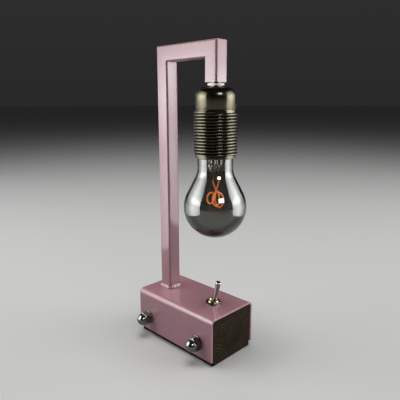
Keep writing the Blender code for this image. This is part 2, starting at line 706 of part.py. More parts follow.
def tube_mesh(name, length):
    """A square tube along Z from a 2D outline with a square hole."""
    curve = bpy.data.curves.new(name, "CURVE")
    curve.dimensions = "2D"
    curve.fill_mode = "BOTH"
    curve.extrude = length / 2
    inner_corner = max(TUBE_CORNER - TUBE_WALL, TUBE_WALL / 3)
    for half, corner in ((TUBE_SIDE / 2, TUBE_CORNER), (TUBE_SIDE / 2 - TUBE_WALL, inner_corner)):
        points = []
        for quarter in range(4):
            start = quarter * pi / 2
            cx, cy = ((half - corner) * sign for sign in ((1, 1), (-1, 1), (-1, -1), (1, -1))[quarter])
            points += arc((cx, cy), corner, start, start + pi / 2, TUBE_CORNER_SEGMENTS)
        spline = curve.splines.new("POLY")
        spline.points.add(len(points) - 1)
        spline.use_cyclic_u = True
        for target, (x, y) in zip(spline.points, points):
            target.co = (x, y, 0, 1)
    return curve_to_mesh(name, curve)


def mitre_cutter(name, corner_x, slope):
    """A box over one side of the mitre plane through a frame corner, and half a gap past it."""
    size = 4 * TUBE_SIDE
    place = Vector((corner_x, 0, FRAME_HEIGHT - TUBE_SIDE / 2))
    cutter = add_object(name, box_mesh(name, (size, size, size), (0, 0, (size - FIT_GAP) / 2)))
    cutter.location = place
    cutter.rotation_euler = (0, slope, 0)
    return cutter


def build_frame():
    """Three tubes with mitred ends: the post, the arm and the short drop."""
    post_length = FRAME_HEIGHT - POST_BOTTOM
    post = add_object("post_tube", tube_mesh("post_tube", post_length), PAINTED,
                      (POST_X, 0, POST_BOTTOM + post_length / 2))
    boolean(post, mitre_cutter("cut_post_mitre", POST_X, radians(45)))
    arm_length = DROP_X - POST_X + TUBE_SIDE
    arm = add_object("arm_tube", tube_mesh("arm_tube", arm_length), PAINTED,
                     ((POST_X + DROP_X) / 2, 0, FRAME_HEIGHT - TUBE_SIDE / 2), (0, pi / 2, 0))
    boolean(arm, mitre_cutter("cut_arm_mitre_left", POST_X, radians(-135)))
    boolean(arm, mitre_cutter("cut_arm_mitre_right", DROP_X, radians(135)))
    drop_length = FRAME_HEIGHT - DROP_BOTTOM
    drop = add_object("drop_tube", tube_mesh("drop_tube", drop_length), PAINTED,
                      (DROP_X, 0, DROP_BOTTOM + drop_length / 2))
    boolean(drop, mitre_cutter("cut_drop_mitre", DROP_X, radians(-45)))
    plug_side = TUBE_SIDE - 2 * TUBE_WALL - 2 * FIT_GAP
    plug_mesh = box_mesh("drop_plug", (plug_side, plug_side, PLUG_THICKNESS),
                         (0, 0, FIT_GAP + PLUG_THICKNESS / 2), FIT_GAP * 2, 2, edges="Z")
    plug = add_object("drop_plug", plug_mesh, PAINTED, (DROP_X, 0, DROP_BOTTOM))
    boolean(plug, add_object("cut_plug_bore", cylinder_mesh(
        "cut_plug_bore", NIPPLE_RADIUS + FIT_GAP, -OVERRUN, PLUG_THICKNESS + OVERRUN),
        location=(DROP_X, 0, DROP_BOTTOM)))
    build_weld_bead()


def build_weld_bead():
    """A rippled fillet lofted round the foot of the post."""
    half = TUBE_SIDE / 2 + FIT_GAP
    corner = TUBE_CORNER
    straight = 2 * (half - corner)
    side_length = straight + corner * pi / 2
    sections = []
    steps = 4 * BEAD_SIDE_STEPS
    for step in range(steps):
        side, part = divmod(step, BEAD_SIDE_STEPS)
        along = side_length * part / BEAD_SIDE_STEPS
        if along < straight:
            point, normal = Vector((half, along - straight / 2)), Vector((1, 0))
        else:
            angle = (along - straight) / corner
            normal = Vector((cos(angle), sin(angle)))
            point = Vector((half - corner, straight / 2)) + corner * normal
        spin = Matrix.Rotation(side * pi / 2, 2)
        point, normal = spin @ point, spin @ normal
        ripple = 1 + BEAD_RIPPLE_SHARE * sin(2 * pi * BEAD_RIPPLES * step / steps)
        sections.append([(point.x + normal.x * BEAD_WIDTH * ripple * out,
                          point.y + normal.y * BEAD_WIDTH * ripple * out,
                          BEAD_HEIGHT * ripple * up) for out, up in BEAD_SECTION_SHARES]
                        + [(point.x, point.y, 0)])
    add_object("post_weld_bead", loft_mesh("post_weld_bead", sections, looped=True), PAINTED,
               (POST_X, 0, POST_BOTTOM))


def build_switch():
    place = (SWITCH_X, 0, 0)
    bushing_top = COVER_TOP + BUSHING_ABOVE_COVER
    plate = add_object("switch_bushing", box_mesh(
        "switch_bushing", (SWITCH_PLATE_LENGTH, SWITCH_PLATE_WIDTH, SWITCH_PLATE_THICKNESS),
        (0, 0, (SWITCH_PLATE_TOP + SWITCH_PLATE_BOTTOM) / 2)), POLISHED, place)
    sleeve = turned("join_bushing_sleeve", [
        (0, bushing_top),
        (BUSHING_RADIUS - BUSHING_CHAMFER, bushing_top),
        (BUSHING_RADIUS, bushing_top - BUSHING_CHAMFER),
        (BUSHING_RADIUS, SWITCH_PLATE_BOTTOM),
        (0, SWITCH_PLATE_BOTTOM),
    ], closed=False, location=place)
    boolean(plate, sleeve, "UNION")
    throat = PIVOT_HEIGHT + THROAT_HEIGHT
    seat_radius = LEVER_BALL_RADIUS + FIT_GAP
    bore = turned("cut_bushing_bore", [
        (0, bushing_top + OVERRUN),
        (MOUTH_RADIUS, bushing_top + OVERRUN),
        (MOUTH_RADIUS, bushing_top),
        (THROAT_RADIUS, throat + THROAT_LENGTH),
        (THROAT_RADIUS, throat),
        (seat_radius, PIVOT_HEIGHT + FIT_GAP),
        (seat_radius, SWITCH_PLATE_BOTTOM - OVERRUN),
        (0, SWITCH_PLATE_BOTTOM - OVERRUN),
    ], closed=False, location=place)
    boolean(plate, bore)
    body_size = (SWITCH_BODY_LENGTH, SWITCH_BODY_WIDTH, SWITCH_BODY_HEIGHT)
    body_centre = (0, 0, (SWITCH_BODY_TOP + SWITCH_BODY_BOTTOM) / 2)
    body = add_object("switch_body", box_mesh(
        "switch_body", body_size, body_centre, SWITCH_BODY_ROUND, 2, edges="Z"), BLACK_MOULDING, place)
    tail_room = LEVER_TAIL_LENGTH + OVERRUN
    slot_half_width = LEVER_TAIL_RADIUS + OVERRUN / 2
    swing = tail_room * sin(LEVER_LEAN) + slot_half_width
    slot_size = (2 * swing, 2 * slot_half_width, tail_room + OVERRUN)
    boolean(body, add_object("cut_body_slot", box_mesh(
        "cut_body_slot", slot_size, (0, 0, SWITCH_BODY_TOP + OVERRUN - slot_size[2] / 2)), location=place))
    washer_seat = COVER_TOP + STACK_GAP
    bore_radius = BUSHING_RADIUS + FIT_GAP
    turned("switch_washer", [
        (LOCK_WASHER_RADIUS, washer_seat + LOCK_WASHER_THICKNESS),
        (LOCK_WASHER_RADIUS, washer_seat),
        (bore_radius, washer_seat),
        (bore_radius, washer_seat + LOCK_WASHER_THICKNESS),
    ], YELLOW_METAL, location=place)
    nut_seat = washer_seat + LOCK_WASHER_THICKNESS + STACK_GAP
    turn = (0, 0, SWITCH_NUT_TURN)
    hex_nut("switch_nut", SWITCH_NUT_FLATS, SWITCH_NUT_HEIGHT, bore_radius, POLISHED,
            location=(SWITCH_X, 0, nut_seat), rotation=turn)
    hex_nut("switch_back_nut", SWITCH_NUT_FLATS, BACK_NUT_HEIGHT, bore_radius, DULL_STEEL,
            location=(SWITCH_X, 0, COVER_UNDERSIDE - STACK_GAP - BACK_NUT_HEIGHT), rotation=turn)
    for name, shift in (("switch_lug_common", 0), ("switch_lug_load", -LUG_SPACING)):
        build_lug(name, (SWITCH_X + shift, 0, SWITCH_BODY_BOTTOM - FIT_GAP))
    build_lever()


def build_lug(name, location):
    mesh = box_mesh(name, (LUG_WIDTH, LUG_THICKNESS, LUG_LENGTH), (0, 0, -LUG_LENGTH / 2),
                    LUG_WIDTH / 5, 2, edges="Y")
    lug = add_object(name, mesh, YELLOW_METAL, location)
    eye_mesh = cylinder_mesh("cut_" + name, LUG_EYE_RADIUS, -OVERRUN, OVERRUN, SMALL_STEPS)
    eye = add_object("cut_" + name, eye_mesh,
                     location=(location[0], 0, location[2] - LUG_LENGTH + LUG_WIDTH / 2),
                     rotation=(pi / 2, 0, 0))
    boolean(lug, eye)


def build_lever():
    """The bat lever turns on its ball. Its origin is the pivot, and it rests leaning to +X."""
    neck_angle = asin(LEVER_NECK_RADIUS / LEVER_BALL_RADIUS)
    tail_angle = asin(LEVER_TAIL_RADIUS / LEVER_BALL_RADIUS)
    tip_arc = arc((LEVER_TIP_RADIUS - LEVER_TIP_ROUND, LEVER_LENGTH - LEVER_TIP_ROUND), LEVER_TIP_ROUND,
                  pi / 2, 0, 3)
    ball = arc((0, 0), LEVER_BALL_RADIUS, pi / 2 - neck_angle, tail_angle - pi / 2, 7)
    profile = [(0, LEVER_LENGTH)] + tip_arc + ball
    profile += [(LEVER_TAIL_RADIUS, -LEVER_TAIL_LENGTH), (0, -LEVER_TAIL_LENGTH)]
    turned("switch_lever", profile, POLISHED, steps=SMALL_STEPS, closed=False,
           location=(SWITCH_X, 0, PIVOT_HEIGHT), rotation=(0, LEVER_LEAN, 0))


def build_flex():
    """Inner flex: along the groove, up the post, over the arm and down through the nipple."""
    top = FRAME_HEIGHT - TUBE_SIDE / 2
    corners = [(FLEX_START_X, FLEX_HEIGHT), (POST_X, FLEX_HEIGHT), (POST_X, top), (DROP_X, top),
               (DROP_X, HOLDER_TOP - FLEX_TAIL)]
    points = [corners[0]]
    for before, corner, after in zip(corners, corners[1:], corners[2:]):
        here = Vector(corner)
        back = (Vector(before) - here).normalized()
        onward = (Vector(after) - here).normalized()
        middle = here + (back + onward) * FLEX_BEND
        for i in range(FLEX_BEND_POINTS + 1):
            angle = pi / 2 * i / FLEX_BEND_POINTS
            point = middle - onward * FLEX_BEND * cos(angle) - back * FLEX_BEND * sin(angle)
            points.append((point.x, point.y))
    points.append(corners[-1])
    mesh = curve_mesh("inner_flex", [(x, 0, z) for x, z in points], FLEX_RADIUS, 1)
    add_object("inner_flex", mesh, BLACK_MOULDING)


def build_lampholder(axis):
    """Pieces hung below the drop tube. Heights count from the dome's seat for the lock nut."""
    turned("nipple", [
        (NIPPLE_RADIUS, HOLDER_NIPPLE_TOP),
        (NIPPLE_RADIUS, -NIPPLE_INSIDE_DOME),
        (NIPPLE_BORE_RADIUS, -NIPPLE_INSIDE_DOME),
        (NIPPLE_BORE_RADIUS, HOLDER_NIPPLE_TOP),
    ], DULL_STEEL, steps=SMALL_STEPS, parent=axis)
    hex_nut("nipple_nut", LOCK_NUT_FLATS, LOCK_NUT_HEIGHT, NIPPLE_RADIUS + FIT_GAP, POLISHED,
            location=(0, 0, FIT_GAP), rotation=(0, 0, LOCK_NUT_TURN), parent=axis)
    build_dome(axis)
    build_mantle(axis)
    build_core(axis)


def build_dome(axis):
    inner = HOLDER_ROOT_RADIUS - DOME_WALL
    centre_radius = HOLDER_ROOT_RADIUS - DOME_SHOULDER_RADIUS
    centre_height = -DOME_SLOPE_DROP - DOME_SHOULDER_RADIUS
    outer = arc((centre_radius, centre_height), DOME_SHOULDER_RADIUS, pi / 2, 0, DOME_SHOULDER_SEGMENTS)
    lining = arc((centre_radius, centre_height), DOME_SHOULDER_RADIUS - DOME_WALL, 0, pi / 2,
                 DOME_SHOULDER_SEGMENTS)
    bore = NIPPLE_RADIUS + FIT_GAP
    profile = [(bore, 0), (DOME_SEAT_RADIUS, 0)] + outer
    profile += [(HOLDER_ROOT_RADIUS, -DOME_HEIGHT), (inner, -DOME_HEIGHT)] + lining
    profile += [(DOME_BOSS_RADIUS, -DOME_SLOPE_DROP - DOME_WALL), (DOME_BOSS_RADIUS, -DOME_BOSS_DEPTH),
                (bore, -DOME_BOSS_DEPTH)]
    turned("holder_dome", profile, DARK_CHROME, steps=LARGE_STEPS, parent=axis)


def build_mantle(axis):
    """The mantle screws into the dome by its collar; a coarse thread runs down its outside."""
    ledge = MANTLE_BOTTOM + MANTLE_MOUTH_DEPTH
    collar_radius = HOLDER_ROOT_RADIUS - DOME_WALL - FIT_GAP
    collar_foot = MANTLE_TOP - MANTLE_COLLAR_DROP
    rim_top = MANTLE_BOTTOM + MANTLE_RIM_HEIGHT
    profile = [
        (MANTLE_COLLAR_INNER, MANTLE_TOP + MANTLE_COLLAR_HEIGHT),
        (collar_radius, MANTLE_TOP + MANTLE_COLLAR_HEIGHT),
        (collar_radius, MANTLE_TOP),
        (HOLDER_ROOT_RADIUS, MANTLE_TOP),
        (HOLDER_ROOT_RADIUS, rim_top),
        (MANTLE_RIM_RADIUS, rim_top - MANTLE_RIM_ROUND),
        (MANTLE_RIM_RADIUS, MANTLE_BOTTOM + MANTLE_RIM_ROUND),
        (MANTLE_RIM_RADIUS - MANTLE_RIM_ROUND, MANTLE_BOTTOM),
        (MANTLE_MOUTH_RADIUS, MANTLE_BOTTOM),
        (MANTLE_MOUTH_RADIUS, ledge),
        (MANTLE_LEDGE_RADIUS, ledge),
        (MANTLE_LEDGE_RADIUS, ledge + MANTLE_LEDGE_THICKNESS),
        (MANTLE_INNER_RADIUS, ledge + MANTLE_LEDGE_THICKNESS),
        (MANTLE_INNER_RADIUS, collar_foot),
        (MANTLE_COLLAR_INNER, collar_foot),
    ]
    mantle = turned("holder_mantle", profile, DARK_CHROME, steps=LARGE_STEPS, parent=axis)
    buried = HOLDER_ROOT_RADIUS - (MANTLE_CREST_RADIUS - HOLDER_ROOT_RADIUS) / 2
    ridge = thread_mesh("join_mantle_thread", HOLDER_ROOT_RADIUS, MANTLE_CREST_RADIUS, buried,
                        MANTLE_PITCH, MANTLE_BOTTOM + MANTLE_THREAD_START, MANTLE_THREAD_TURNS,
                        MANTLE_THREAD_FOOT_SHARE, MANTLE_THREAD_CREST_SHARE, MANTLE_THREAD_PHASE)
    boolean(mantle, add_object("join_mantle_thread", ridge, parent=axis), "UNION")


def build_core(axis):
    """Porcelain core in the mantle, with the brass shell, the centre contact and two terminals."""
    outer = MANTLE_INNER_RADIUS - FIT_GAP
    bore = SHELL_OUTER_RADIUS + FIT_GAP
    top = CORE_BOTTOM + CORE_HEIGHT
    roof = top - CORE_ROOF
    step = SHELL_BOTTOM + SHELL_HEIGHT + FIT_GAP
    turned("holder_core", [
        (0, top), (outer, top), (outer, CORE_BOTTOM), (bore, CORE_BOTTOM), (bore, step),
        (CORE_NECK_RADIUS, step), (CORE_NECK_RADIUS, roof), (0, roof),
    ], WHITE_CERAMIC, steps=LARGE_STEPS, closed=False, parent=axis)
    shell = turned("thread_shell", [
        (SHELL_OUTER_RADIUS, SHELL_BOTTOM + SHELL_HEIGHT),
        (SHELL_OUTER_RADIUS, SHELL_BOTTOM),
        (SHELL_INNER_RADIUS, SHELL_BOTTOM),
        (SHELL_INNER_RADIUS, SHELL_BOTTOM + SHELL_HEIGHT),
    ], YELLOW_METAL, steps=LARGE_STEPS, parent=axis)
    start = CAP_BOTTOM + CAP_THREAD_START - EDISON_PITCH
    groove = thread_mesh("cut_shell_thread", SHELL_INNER_RADIUS, SHELL_GROOVE_RADIUS,
                         CAP_INNER_RADIUS, EDISON_PITCH, start, CAP_THREAD_TURNS + 2,
                         GROOVE_THREAD_FOOT_SHARE, GROOVE_THREAD_CREST_SHARE)
    boolean(shell, add_object("cut_shell_thread", groove, parent=axis))
    thickness = CENTRE_CONTACT_THICKNESS
    high = roof - FIT_GAP
    dish = CENTRE_CONTACT_DEPTH
    turned("centre_contact", [
        (0, high - dish + thickness),
        (CENTRE_CONTACT_DISH_RADIUS, high - dish + thickness),
        (CENTRE_CONTACT_RIM_RADIUS, high),
        (CENTRE_CONTACT_RADIUS, high),
        (CENTRE_CONTACT_RADIUS, high - thickness),
        (CENTRE_CONTACT_RIM_RADIUS, high - thickness),
        (CENTRE_CONTACT_DISH_RADIUS, high - dish),
        (0, high - dish),
    ], YELLOW_METAL, steps=SMALL_STEPS, closed=False, parent=axis)
    for name, side in (("terminal_screw_live", 1), ("terminal_screw_neutral", -1)):
        place = (side * TERMINAL_SPREAD, 0, top + FIT_GAP)
        head_mesh = cylinder_mesh(name, TERMINAL_HEAD_RADIUS, 0, TERMINAL_HEAD_HEIGHT, SMALL_STEPS)
        head = add_object(name, head_mesh, YELLOW_METAL, place, parent=axis)
        slot_size = (3 * TERMINAL_HEAD_RADIUS, TERMINAL_SLOT_WIDTH, 2 * TERMINAL_SLOT_DEPTH)
        slot = box_mesh("cut_" + name, slot_size, (0, 0, TERMINAL_HEAD_HEIGHT))
        boolean(head, add_object("cut_" + name, slot, location=place, parent=axis))


def bulb_outline():
    """Outer outline from the pole up to the tail. Heights count from the cap's rim, which is 0."""
    centre = -BULB_CENTRE_DROP
    tangent = BULB_CONE_ANGLE
    ball_segments = round((pi / 2 + tangent) / BULB_ARC_STEP)
    points = arc((0, centre), BULB_RADIUS, -pi / 2, tangent, ball_segments)
    fillet_centre = (BULB_NECK_RADIUS + BULB_NECK_FILLET, -BULB_NECK_END)
    points += arc(fillet_centre, BULB_NECK_FILLET, pi + tangent, pi, 3)
    shoulder = (BULB_NECK_RADIUS - BULB_SHOULDER_RADIUS, -BULB_SHOULDER_START)
    points += arc(shoulder, BULB_SHOULDER_RADIUS, 0, BULB_SHOULDER_TURN, 3)
    points += [(BULB_TAIL_RADIUS, -FIT_GAP), (BULB_TAIL_RADIUS, BULB_TAIL_HEIGHT)]
    return [(max(radius, 0), height) for radius, height in points]


def build_bulb(axis):
    """All of the bulb turns with its cap. The first outline point is the pole of the globe."""
    outline = list(reversed(bulb_outline()))
    outline[-1] = (0, outline[-1][1])
    glass = turned("bulb_glass", outline, SMOKED, steps=GLOBE_STEPS, closed=False, parent=axis)
    wall = glass.modifiers.new("Wall", "SOLIDIFY")
    wall.thickness = BULB_WALL
    wall.offset = -1
    wall.use_even_offset = True
    build_cap(axis)
    build_stem(axis)
    build_filament(axis)


def build_cap(axis):
    lip = CAP_HEIGHT - CAP_LIP_THICKNESS
    cap = turned("bulb_cap", [
        (CAP_LIP_RADIUS, CAP_HEIGHT),
        (CAP_ROOT_RADIUS - CAP_SHOULDER / 2, CAP_HEIGHT),
        (CAP_ROOT_RADIUS, CAP_HEIGHT - CAP_SHOULDER),
        (CAP_ROOT_RADIUS, CAP_RIM_HEIGHT),
        (CAP_RIM_RADIUS, CAP_RIM_HEIGHT - FIT_GAP),
        (CAP_RIM_RADIUS, 0),
        (CAP_INNER_RADIUS, 0),
        (CAP_INNER_RADIUS, lip - CAP_SHOULDER),
        (CAP_LIP_RADIUS, lip),
    ], CAP_METAL, steps=LARGE_STEPS, parent=axis)
    buried = (CAP_INNER_RADIUS + CAP_ROOT_RADIUS) / 2
    ridge = thread_mesh("join_cap_thread", CAP_ROOT_RADIUS, CAP_CREST_RADIUS, buried, EDISON_PITCH,
                        CAP_THREAD_START, CAP_THREAD_TURNS, CAP_THREAD_FOOT_SHARE, CAP_THREAD_CREST_SHARE)
    boolean(cap, add_object("join_cap_thread", ridge, parent=axis), "UNION")
    seat = CAP_HEIGHT + STACK_GAP
    insulator_top = seat + INSULATOR_HEIGHT
    turned("cap_insulator", [
        (0, insulator_top),
        (INSULATOR_TOP_RADIUS, insulator_top),
        (INSULATOR_BASE_RADIUS, seat + INSULATOR_EDGE),
        (INSULATOR_BASE_RADIUS, seat),
        (INSULATOR_PLUG_RADIUS, seat),
        (INSULATOR_PLUG_RADIUS, lip - INSULATOR_EDGE),
        (0, lip - INSULATOR_EDGE),
    ], BLACK_MOULDING, closed=False, parent=axis)
    tip_seat = insulator_top + STACK_GAP
    profile = [(TIP_RADIUS * out, tip_seat + TIP_HEIGHT * up) for out, up in TIP_OUTLINE_SHARES]
    turned("tip_contact", profile + [(0, tip_seat)], CAP_METAL, steps=SMALL_STEPS, closed=False, parent=axis)


def build_stem(axis):
    """Glass stem: a flare on the neck's end, a tube, and a pinch that holds the leads."""
    flare_height = BULB_TAIL_HEIGHT + FIT_GAP
    levels = [
        (flare_height + BULB_WALL, STEM_FLARE_RADIUS, STEM_FLARE_RADIUS),
        (flare_height, STEM_FLARE_RADIUS, STEM_FLARE_RADIUS),
        (BULB_TAIL_HEIGHT - 2 * BULB_WALL, STEM_ROOT_RADIUS, STEM_ROOT_RADIUS),
        (-BULB_SHOULDER_START, STEM_TUBE_RADIUS, STEM_TUBE_RADIUS),
        (-STEM_TUBE_END, STEM_TUBE_RADIUS, STEM_WAIST_HALF_DEPTH),
        (-(STEM_TUBE_END + STEM_PINCH_END) / 2, STEM_CREASE_HALF_WIDTH, STEM_CREASE_HALF_DEPTH),
        (-STEM_PINCH_END, STEM_PINCH_HALF_WIDTH, STEM_PINCH_HALF_DEPTH),
    ]
    sections = []
    for height, wide, deep in levels:
        angles = [2 * pi * i / SMALL_STEPS for i in range(SMALL_STEPS)]
        sections.append([(wide * cos(angle), deep * sin(angle), height) for angle in angles])
    add_object("glass_stem", loft_mesh("glass_stem", sections, looped=False), CLEAR, parent=axis)


def build_filament(axis):
    """Two bent leads hang from the pinch; the coil curls between their ends round an X line."""
    pinch = -STEM_PINCH_END - FIT_GAP
    middle = -LEAD_END_DROP - FILAMENT_RISE - FILAMENT_COIL_RADIUS
    for name, side in (("lead_left", -1), ("lead_right", 1)):
        points = [
            (side * LEAD_ROOT, 0, pinch),
            (side * LEAD_SPREAD, 0, -LEAD_ELBOW_DROP),
            (side * LEAD_END_GAP, 0, -LEAD_END_DROP),
        ]
        add_object(name, curve_mesh(name, points, LEAD_RADIUS, 1), CAP_METAL, parent=axis)
    steps = FILAMENT_TURNS * FILAMENT_STEPS
    points = []
    for step in range(steps + 1):
        angle = pi / 2 + 2 * pi * step / FILAMENT_STEPS
        along = -FILAMENT_COIL_LENGTH * (step / steps - 0.5)
        points.append((along, FILAMENT_COIL_RADIUS * cos(angle), middle + FILAMENT_COIL_RADIUS * sin(angle)))
    add_object("filament", curve_mesh("filament", points, FILAMENT_RADIUS, 1), GLOWING, parent=axis)


clear_scene()
PARTS = new_collection("lantern_table_lamp")
CUTTERS = new_collection("cutters")
holder_axis = bpy.data.objects.new("holder_axis", None)
holder_axis.location = (DROP_X, 0, HOLDER_TOP)
bulb_axis = bpy.data.objects.new("bulb_axis", None)
bulb_axis.location = (DROP_X, 0, BULB_AXIS_HEIGHT)
for empty in (holder_axis, bulb_axis):
    PARTS.objects.link(empty)

build_base()
build_tie_rods()
build_frame()
build_switch()
build_flex()
build_lampholder(holder_axis)
build_bulb(bulb_axis)
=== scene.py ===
"""Looks of the lantern table lamp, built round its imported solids. Metres, +Z up."""
from math import asin, cos, degrees, pi, radians, sin, tan

import bmesh
import bpy
import numpy as np
from mathutils import Matrix, Vector


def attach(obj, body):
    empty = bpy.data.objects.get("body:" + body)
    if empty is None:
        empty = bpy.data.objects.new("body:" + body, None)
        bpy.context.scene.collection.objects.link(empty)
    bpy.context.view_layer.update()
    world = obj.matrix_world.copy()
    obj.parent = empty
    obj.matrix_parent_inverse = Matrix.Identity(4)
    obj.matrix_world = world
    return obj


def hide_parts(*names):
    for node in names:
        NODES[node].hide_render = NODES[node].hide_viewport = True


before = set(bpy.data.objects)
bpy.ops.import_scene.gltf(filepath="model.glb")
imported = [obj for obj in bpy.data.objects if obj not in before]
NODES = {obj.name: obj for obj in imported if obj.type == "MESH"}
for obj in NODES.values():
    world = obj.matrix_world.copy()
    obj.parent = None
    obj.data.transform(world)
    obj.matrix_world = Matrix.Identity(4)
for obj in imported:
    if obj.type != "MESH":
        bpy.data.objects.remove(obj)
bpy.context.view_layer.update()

# Sizes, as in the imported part
BASE_LENGTH, BASE_WIDTH, COVER_TOP, COVER_LIFT = 0.1075, 0.060, 0.0487, 0.0051
SHEET, BEND = 0.002, 0.005
ROD_X, ROD_HEIGHT, ROD_BORE = (-0.0396, 0.0349), 0.0198, 0.0043
WASHER_RADIUS, WASHER_THICKNESS = 0.0075, 0.0014
DOME_NUT_FLATS, DOME_NUT_HEX, DOME_NUT_DOME, DOME_NUT_DEPTH = 0.013, 0.006, 0.0062, 0.0085
TUBE, TUBE_WALL, TUBE_CORNER = 0.015, 0.0015, 0.002
POST_X, DROP_X, FRAME_TOP, DROP_END = -0.03656, 0.02955, 0.3005, 0.26375
FLEX_HOLE = 0.0055
SWITCH_X, BUSHING_RADIUS, BUSHING_RISE, PIVOT = 0.0278, 0.00595, 0.0034, 0.0465
LOCK_RADIUS, LOCK_THICKNESS = 0.0078, 0.0004
LEVER_LEAN = 15
HOLDER_TOP, HOLDER_ROOT, HOLDER_CREST, HOLDER_BORE = 0.2601, 0.0188, 0.0203, 0.0053
HOLDER_CAP_HEIGHT, MANTLE_HEIGHT = 0.0202, 0.0438
# the bulb's own heights count from its cap's rim
BULB_RIM, GLOBE_CENTRE, GLOBE_RADIUS, GLASS_WALL = 0.2033, -0.0545, 0.030, 0.0009
CAP_ROOT, CAP_CREST, CAP_PITCH = 0.0121, 0.01315, 0.003629
GAP = 0.0003
STACK = 0.0002
WELDED = 1e-7

# Looks
PINK = (0.30, 0.150, 0.174)
FLOOR_COLOUR, FLOOR_HALF_SIZE = (0.44, 0.44, 0.436), 40
ROOM_LOW, ROOM_HIGH = 0.022, 0.045
KEY_LEFT, KEY_RIGHT, SMALL, TOP = 3.4, 3.0, 3.2, 7.0
CARD, GLINT = 12.8, 20.0

SCENE = bpy.context.scene
LOOKS = {}


# ---------------------------------------------------------------- meshes

def new_mesh(name, points, faces, sharp=38):
    """A mesh from points and faces, welded, facing outward, smooth but for its sharp edges."""
    bm = bmesh.new()
    verts = [bm.verts.new(p) for p in points]
    for face in faces:
        bm.faces.new([verts[i] for i in face])
    bmesh.ops.remove_doubles(bm, verts=bm.verts, dist=WELDED)
    bmesh.ops.recalc_face_normals(bm, faces=bm.faces)
    mesh = bpy.data.meshes.new(name)
    bm.to_mesh(mesh)
    bm.free()
    mesh.shade_smooth()
    mesh.set_sharp_from_angle(angle=radians(sharp))
    return mesh


def grid(points, wrap_rows=False):
    """Flat points and quads of a (rows, columns, 3) array whose rows are closed rings."""
    rows, cols = points.shape[:2]
    faces = []
    for i in range(rows if wrap_rows else rows - 1):
        a, b = i * cols, (i + 1) % rows * cols
        for j in range(cols):
            k = (j + 1) % cols
            faces.append((a + j, a + k, b + k, b + j))
    return points.reshape(-1, 3), faces


def ended(points):
    """A grid whose first and last rows are filled with one face each."""
    flat, faces = grid(points)
    rows, cols = points.shape[:2]
    last = (rows - 1) * cols
    faces.append(tuple(range(cols)))
    faces.append(tuple(last + k for k in reversed(range(cols))))
    return flat, faces


def joined(*parts):
    """Several (points, faces) as one."""
    points, faces, base = [], [], 0
    for some, quads in parts:
        points.extend(some)
        faces.extend(tuple(base + i for i in quad) for quad in quads)
        base += len(some)
    return points, faces


def box(size, centre):
    x, y, z = (s / 2 for s in size)
    points = [(centre[0] + a * x, centre[1] + b * y, centre[2] + c * z)
              for a in (-1, 1) for b in (-1, 1) for c in (-1, 1)]
    faces = [(0, 1, 3, 2), (4, 6, 7, 5), (0, 4, 5, 1), (2, 3, 7, 6), (0, 2, 6, 4), (1, 5, 7, 3)]
    return points, faces


def arc(centre, radius, first, last, segments):
    """Points of an arc, both ends included, with angles in degrees."""
    steps = [radians(first + (last - first) * i / segments) for i in range(segments + 1)]
    return [(centre[0] + radius * cos(a), centre[1] + radius * sin(a)) for a in steps]


def filleted(points, segments=4):
    """A polyline in which a corner given as (x, y, radius) is rounded."""
    result, count = [], len(points)
    for i, corner in enumerate(points):
        here = np.array(corner[:2], float)
        if len(corner) < 3:
            result.append(tuple(here))
            continue
        back = np.array(points[i - 1][:2], float) - here
        on = np.array(points[(i + 1) % count][:2], float) - here
        room = min(np.linalg.norm(back), np.linalg.norm(on))
        back, on = back / np.linalg.norm(back), on / np.linalg.norm(on)
        half = np.arccos(np.clip(back @ on, -1, 1)) / 2
        reach = min(corner[2] / tan(half), room * 0.49)
        radius = reach * tan(half)
        middle = here + (back + on) / np.linalg.norm(back + on) * radius / sin(half)
        a, b = here + back * reach - middle, here + on * reach - middle
        turn = np.arctan2(a[0] * b[1] - a[1] * b[0], a @ b)
        for k in range(segments + 1):
            t = turn * k / segments
            result.append((middle[0] + a[0] * cos(t) - a[1] * sin(t),
                           middle[1] + a[0] * sin(t) + a[1] * cos(t)))
    return result


def angles_of(steps):
    return np.arange(steps) * 2 * pi / steps


def around(radius, height, steps):
    """Rows of points about Z, from radii and heights of one to a row or one to a point."""
    angles = angles_of(steps)
    return np.stack(np.broadcast_arrays(radius * np.cos(angles), radius * np.sin(angles), height),
                    axis=2)


def ring_rows(profile, steps):
    """Rings at each (radius, height)."""
    profile = np.array(profile, float)
    return around(np.maximum(profile[:, :1], 0), profile[:, 1:], steps)


def revolved(profile, steps=96, closed=True):
    """Points and faces of a (radius, height) profile turned about Z."""
    return grid(ring_rows(profile, steps), wrap_rows=closed)


def rod(radius, low, high, steps=64):
    return revolved([(0, low), (radius, low), (radius, high), (0, high)], steps, closed=False)


def helix_rows(heights, steps, root, crest, pitch, start, turns, shape, phase=0, fade=0.35):
    """Rows of points of a round bar with a right-hand ridge between two radii."""
    height = np.array(heights)[:, None]
    base = ((angles_of(steps) - phase) / (2 * pi)) % 1
    place = (height - start) / pitch - base
    whole = np.round(place)
    turn = whole + base
    swell = np.clip(np.minimum(turn / fade, (turns - turn) / fade), 0, 1)
    swell = swell * swell * (3 - 2 * swell)
    radius = root + (crest - root) * shape(np.abs(place - whole)) * swell
    return around(radius, height, steps)


def round_ridge(away):
    """A thread's section as a wave, from the distance to its crest in pitches."""
    return 0.5 + 0.5 * np.cos(2 * pi * away)


def round_crest(away):
    """A broad round crest that drops into a sharp root."""
    return 1 - (2 * away) ** 2.4


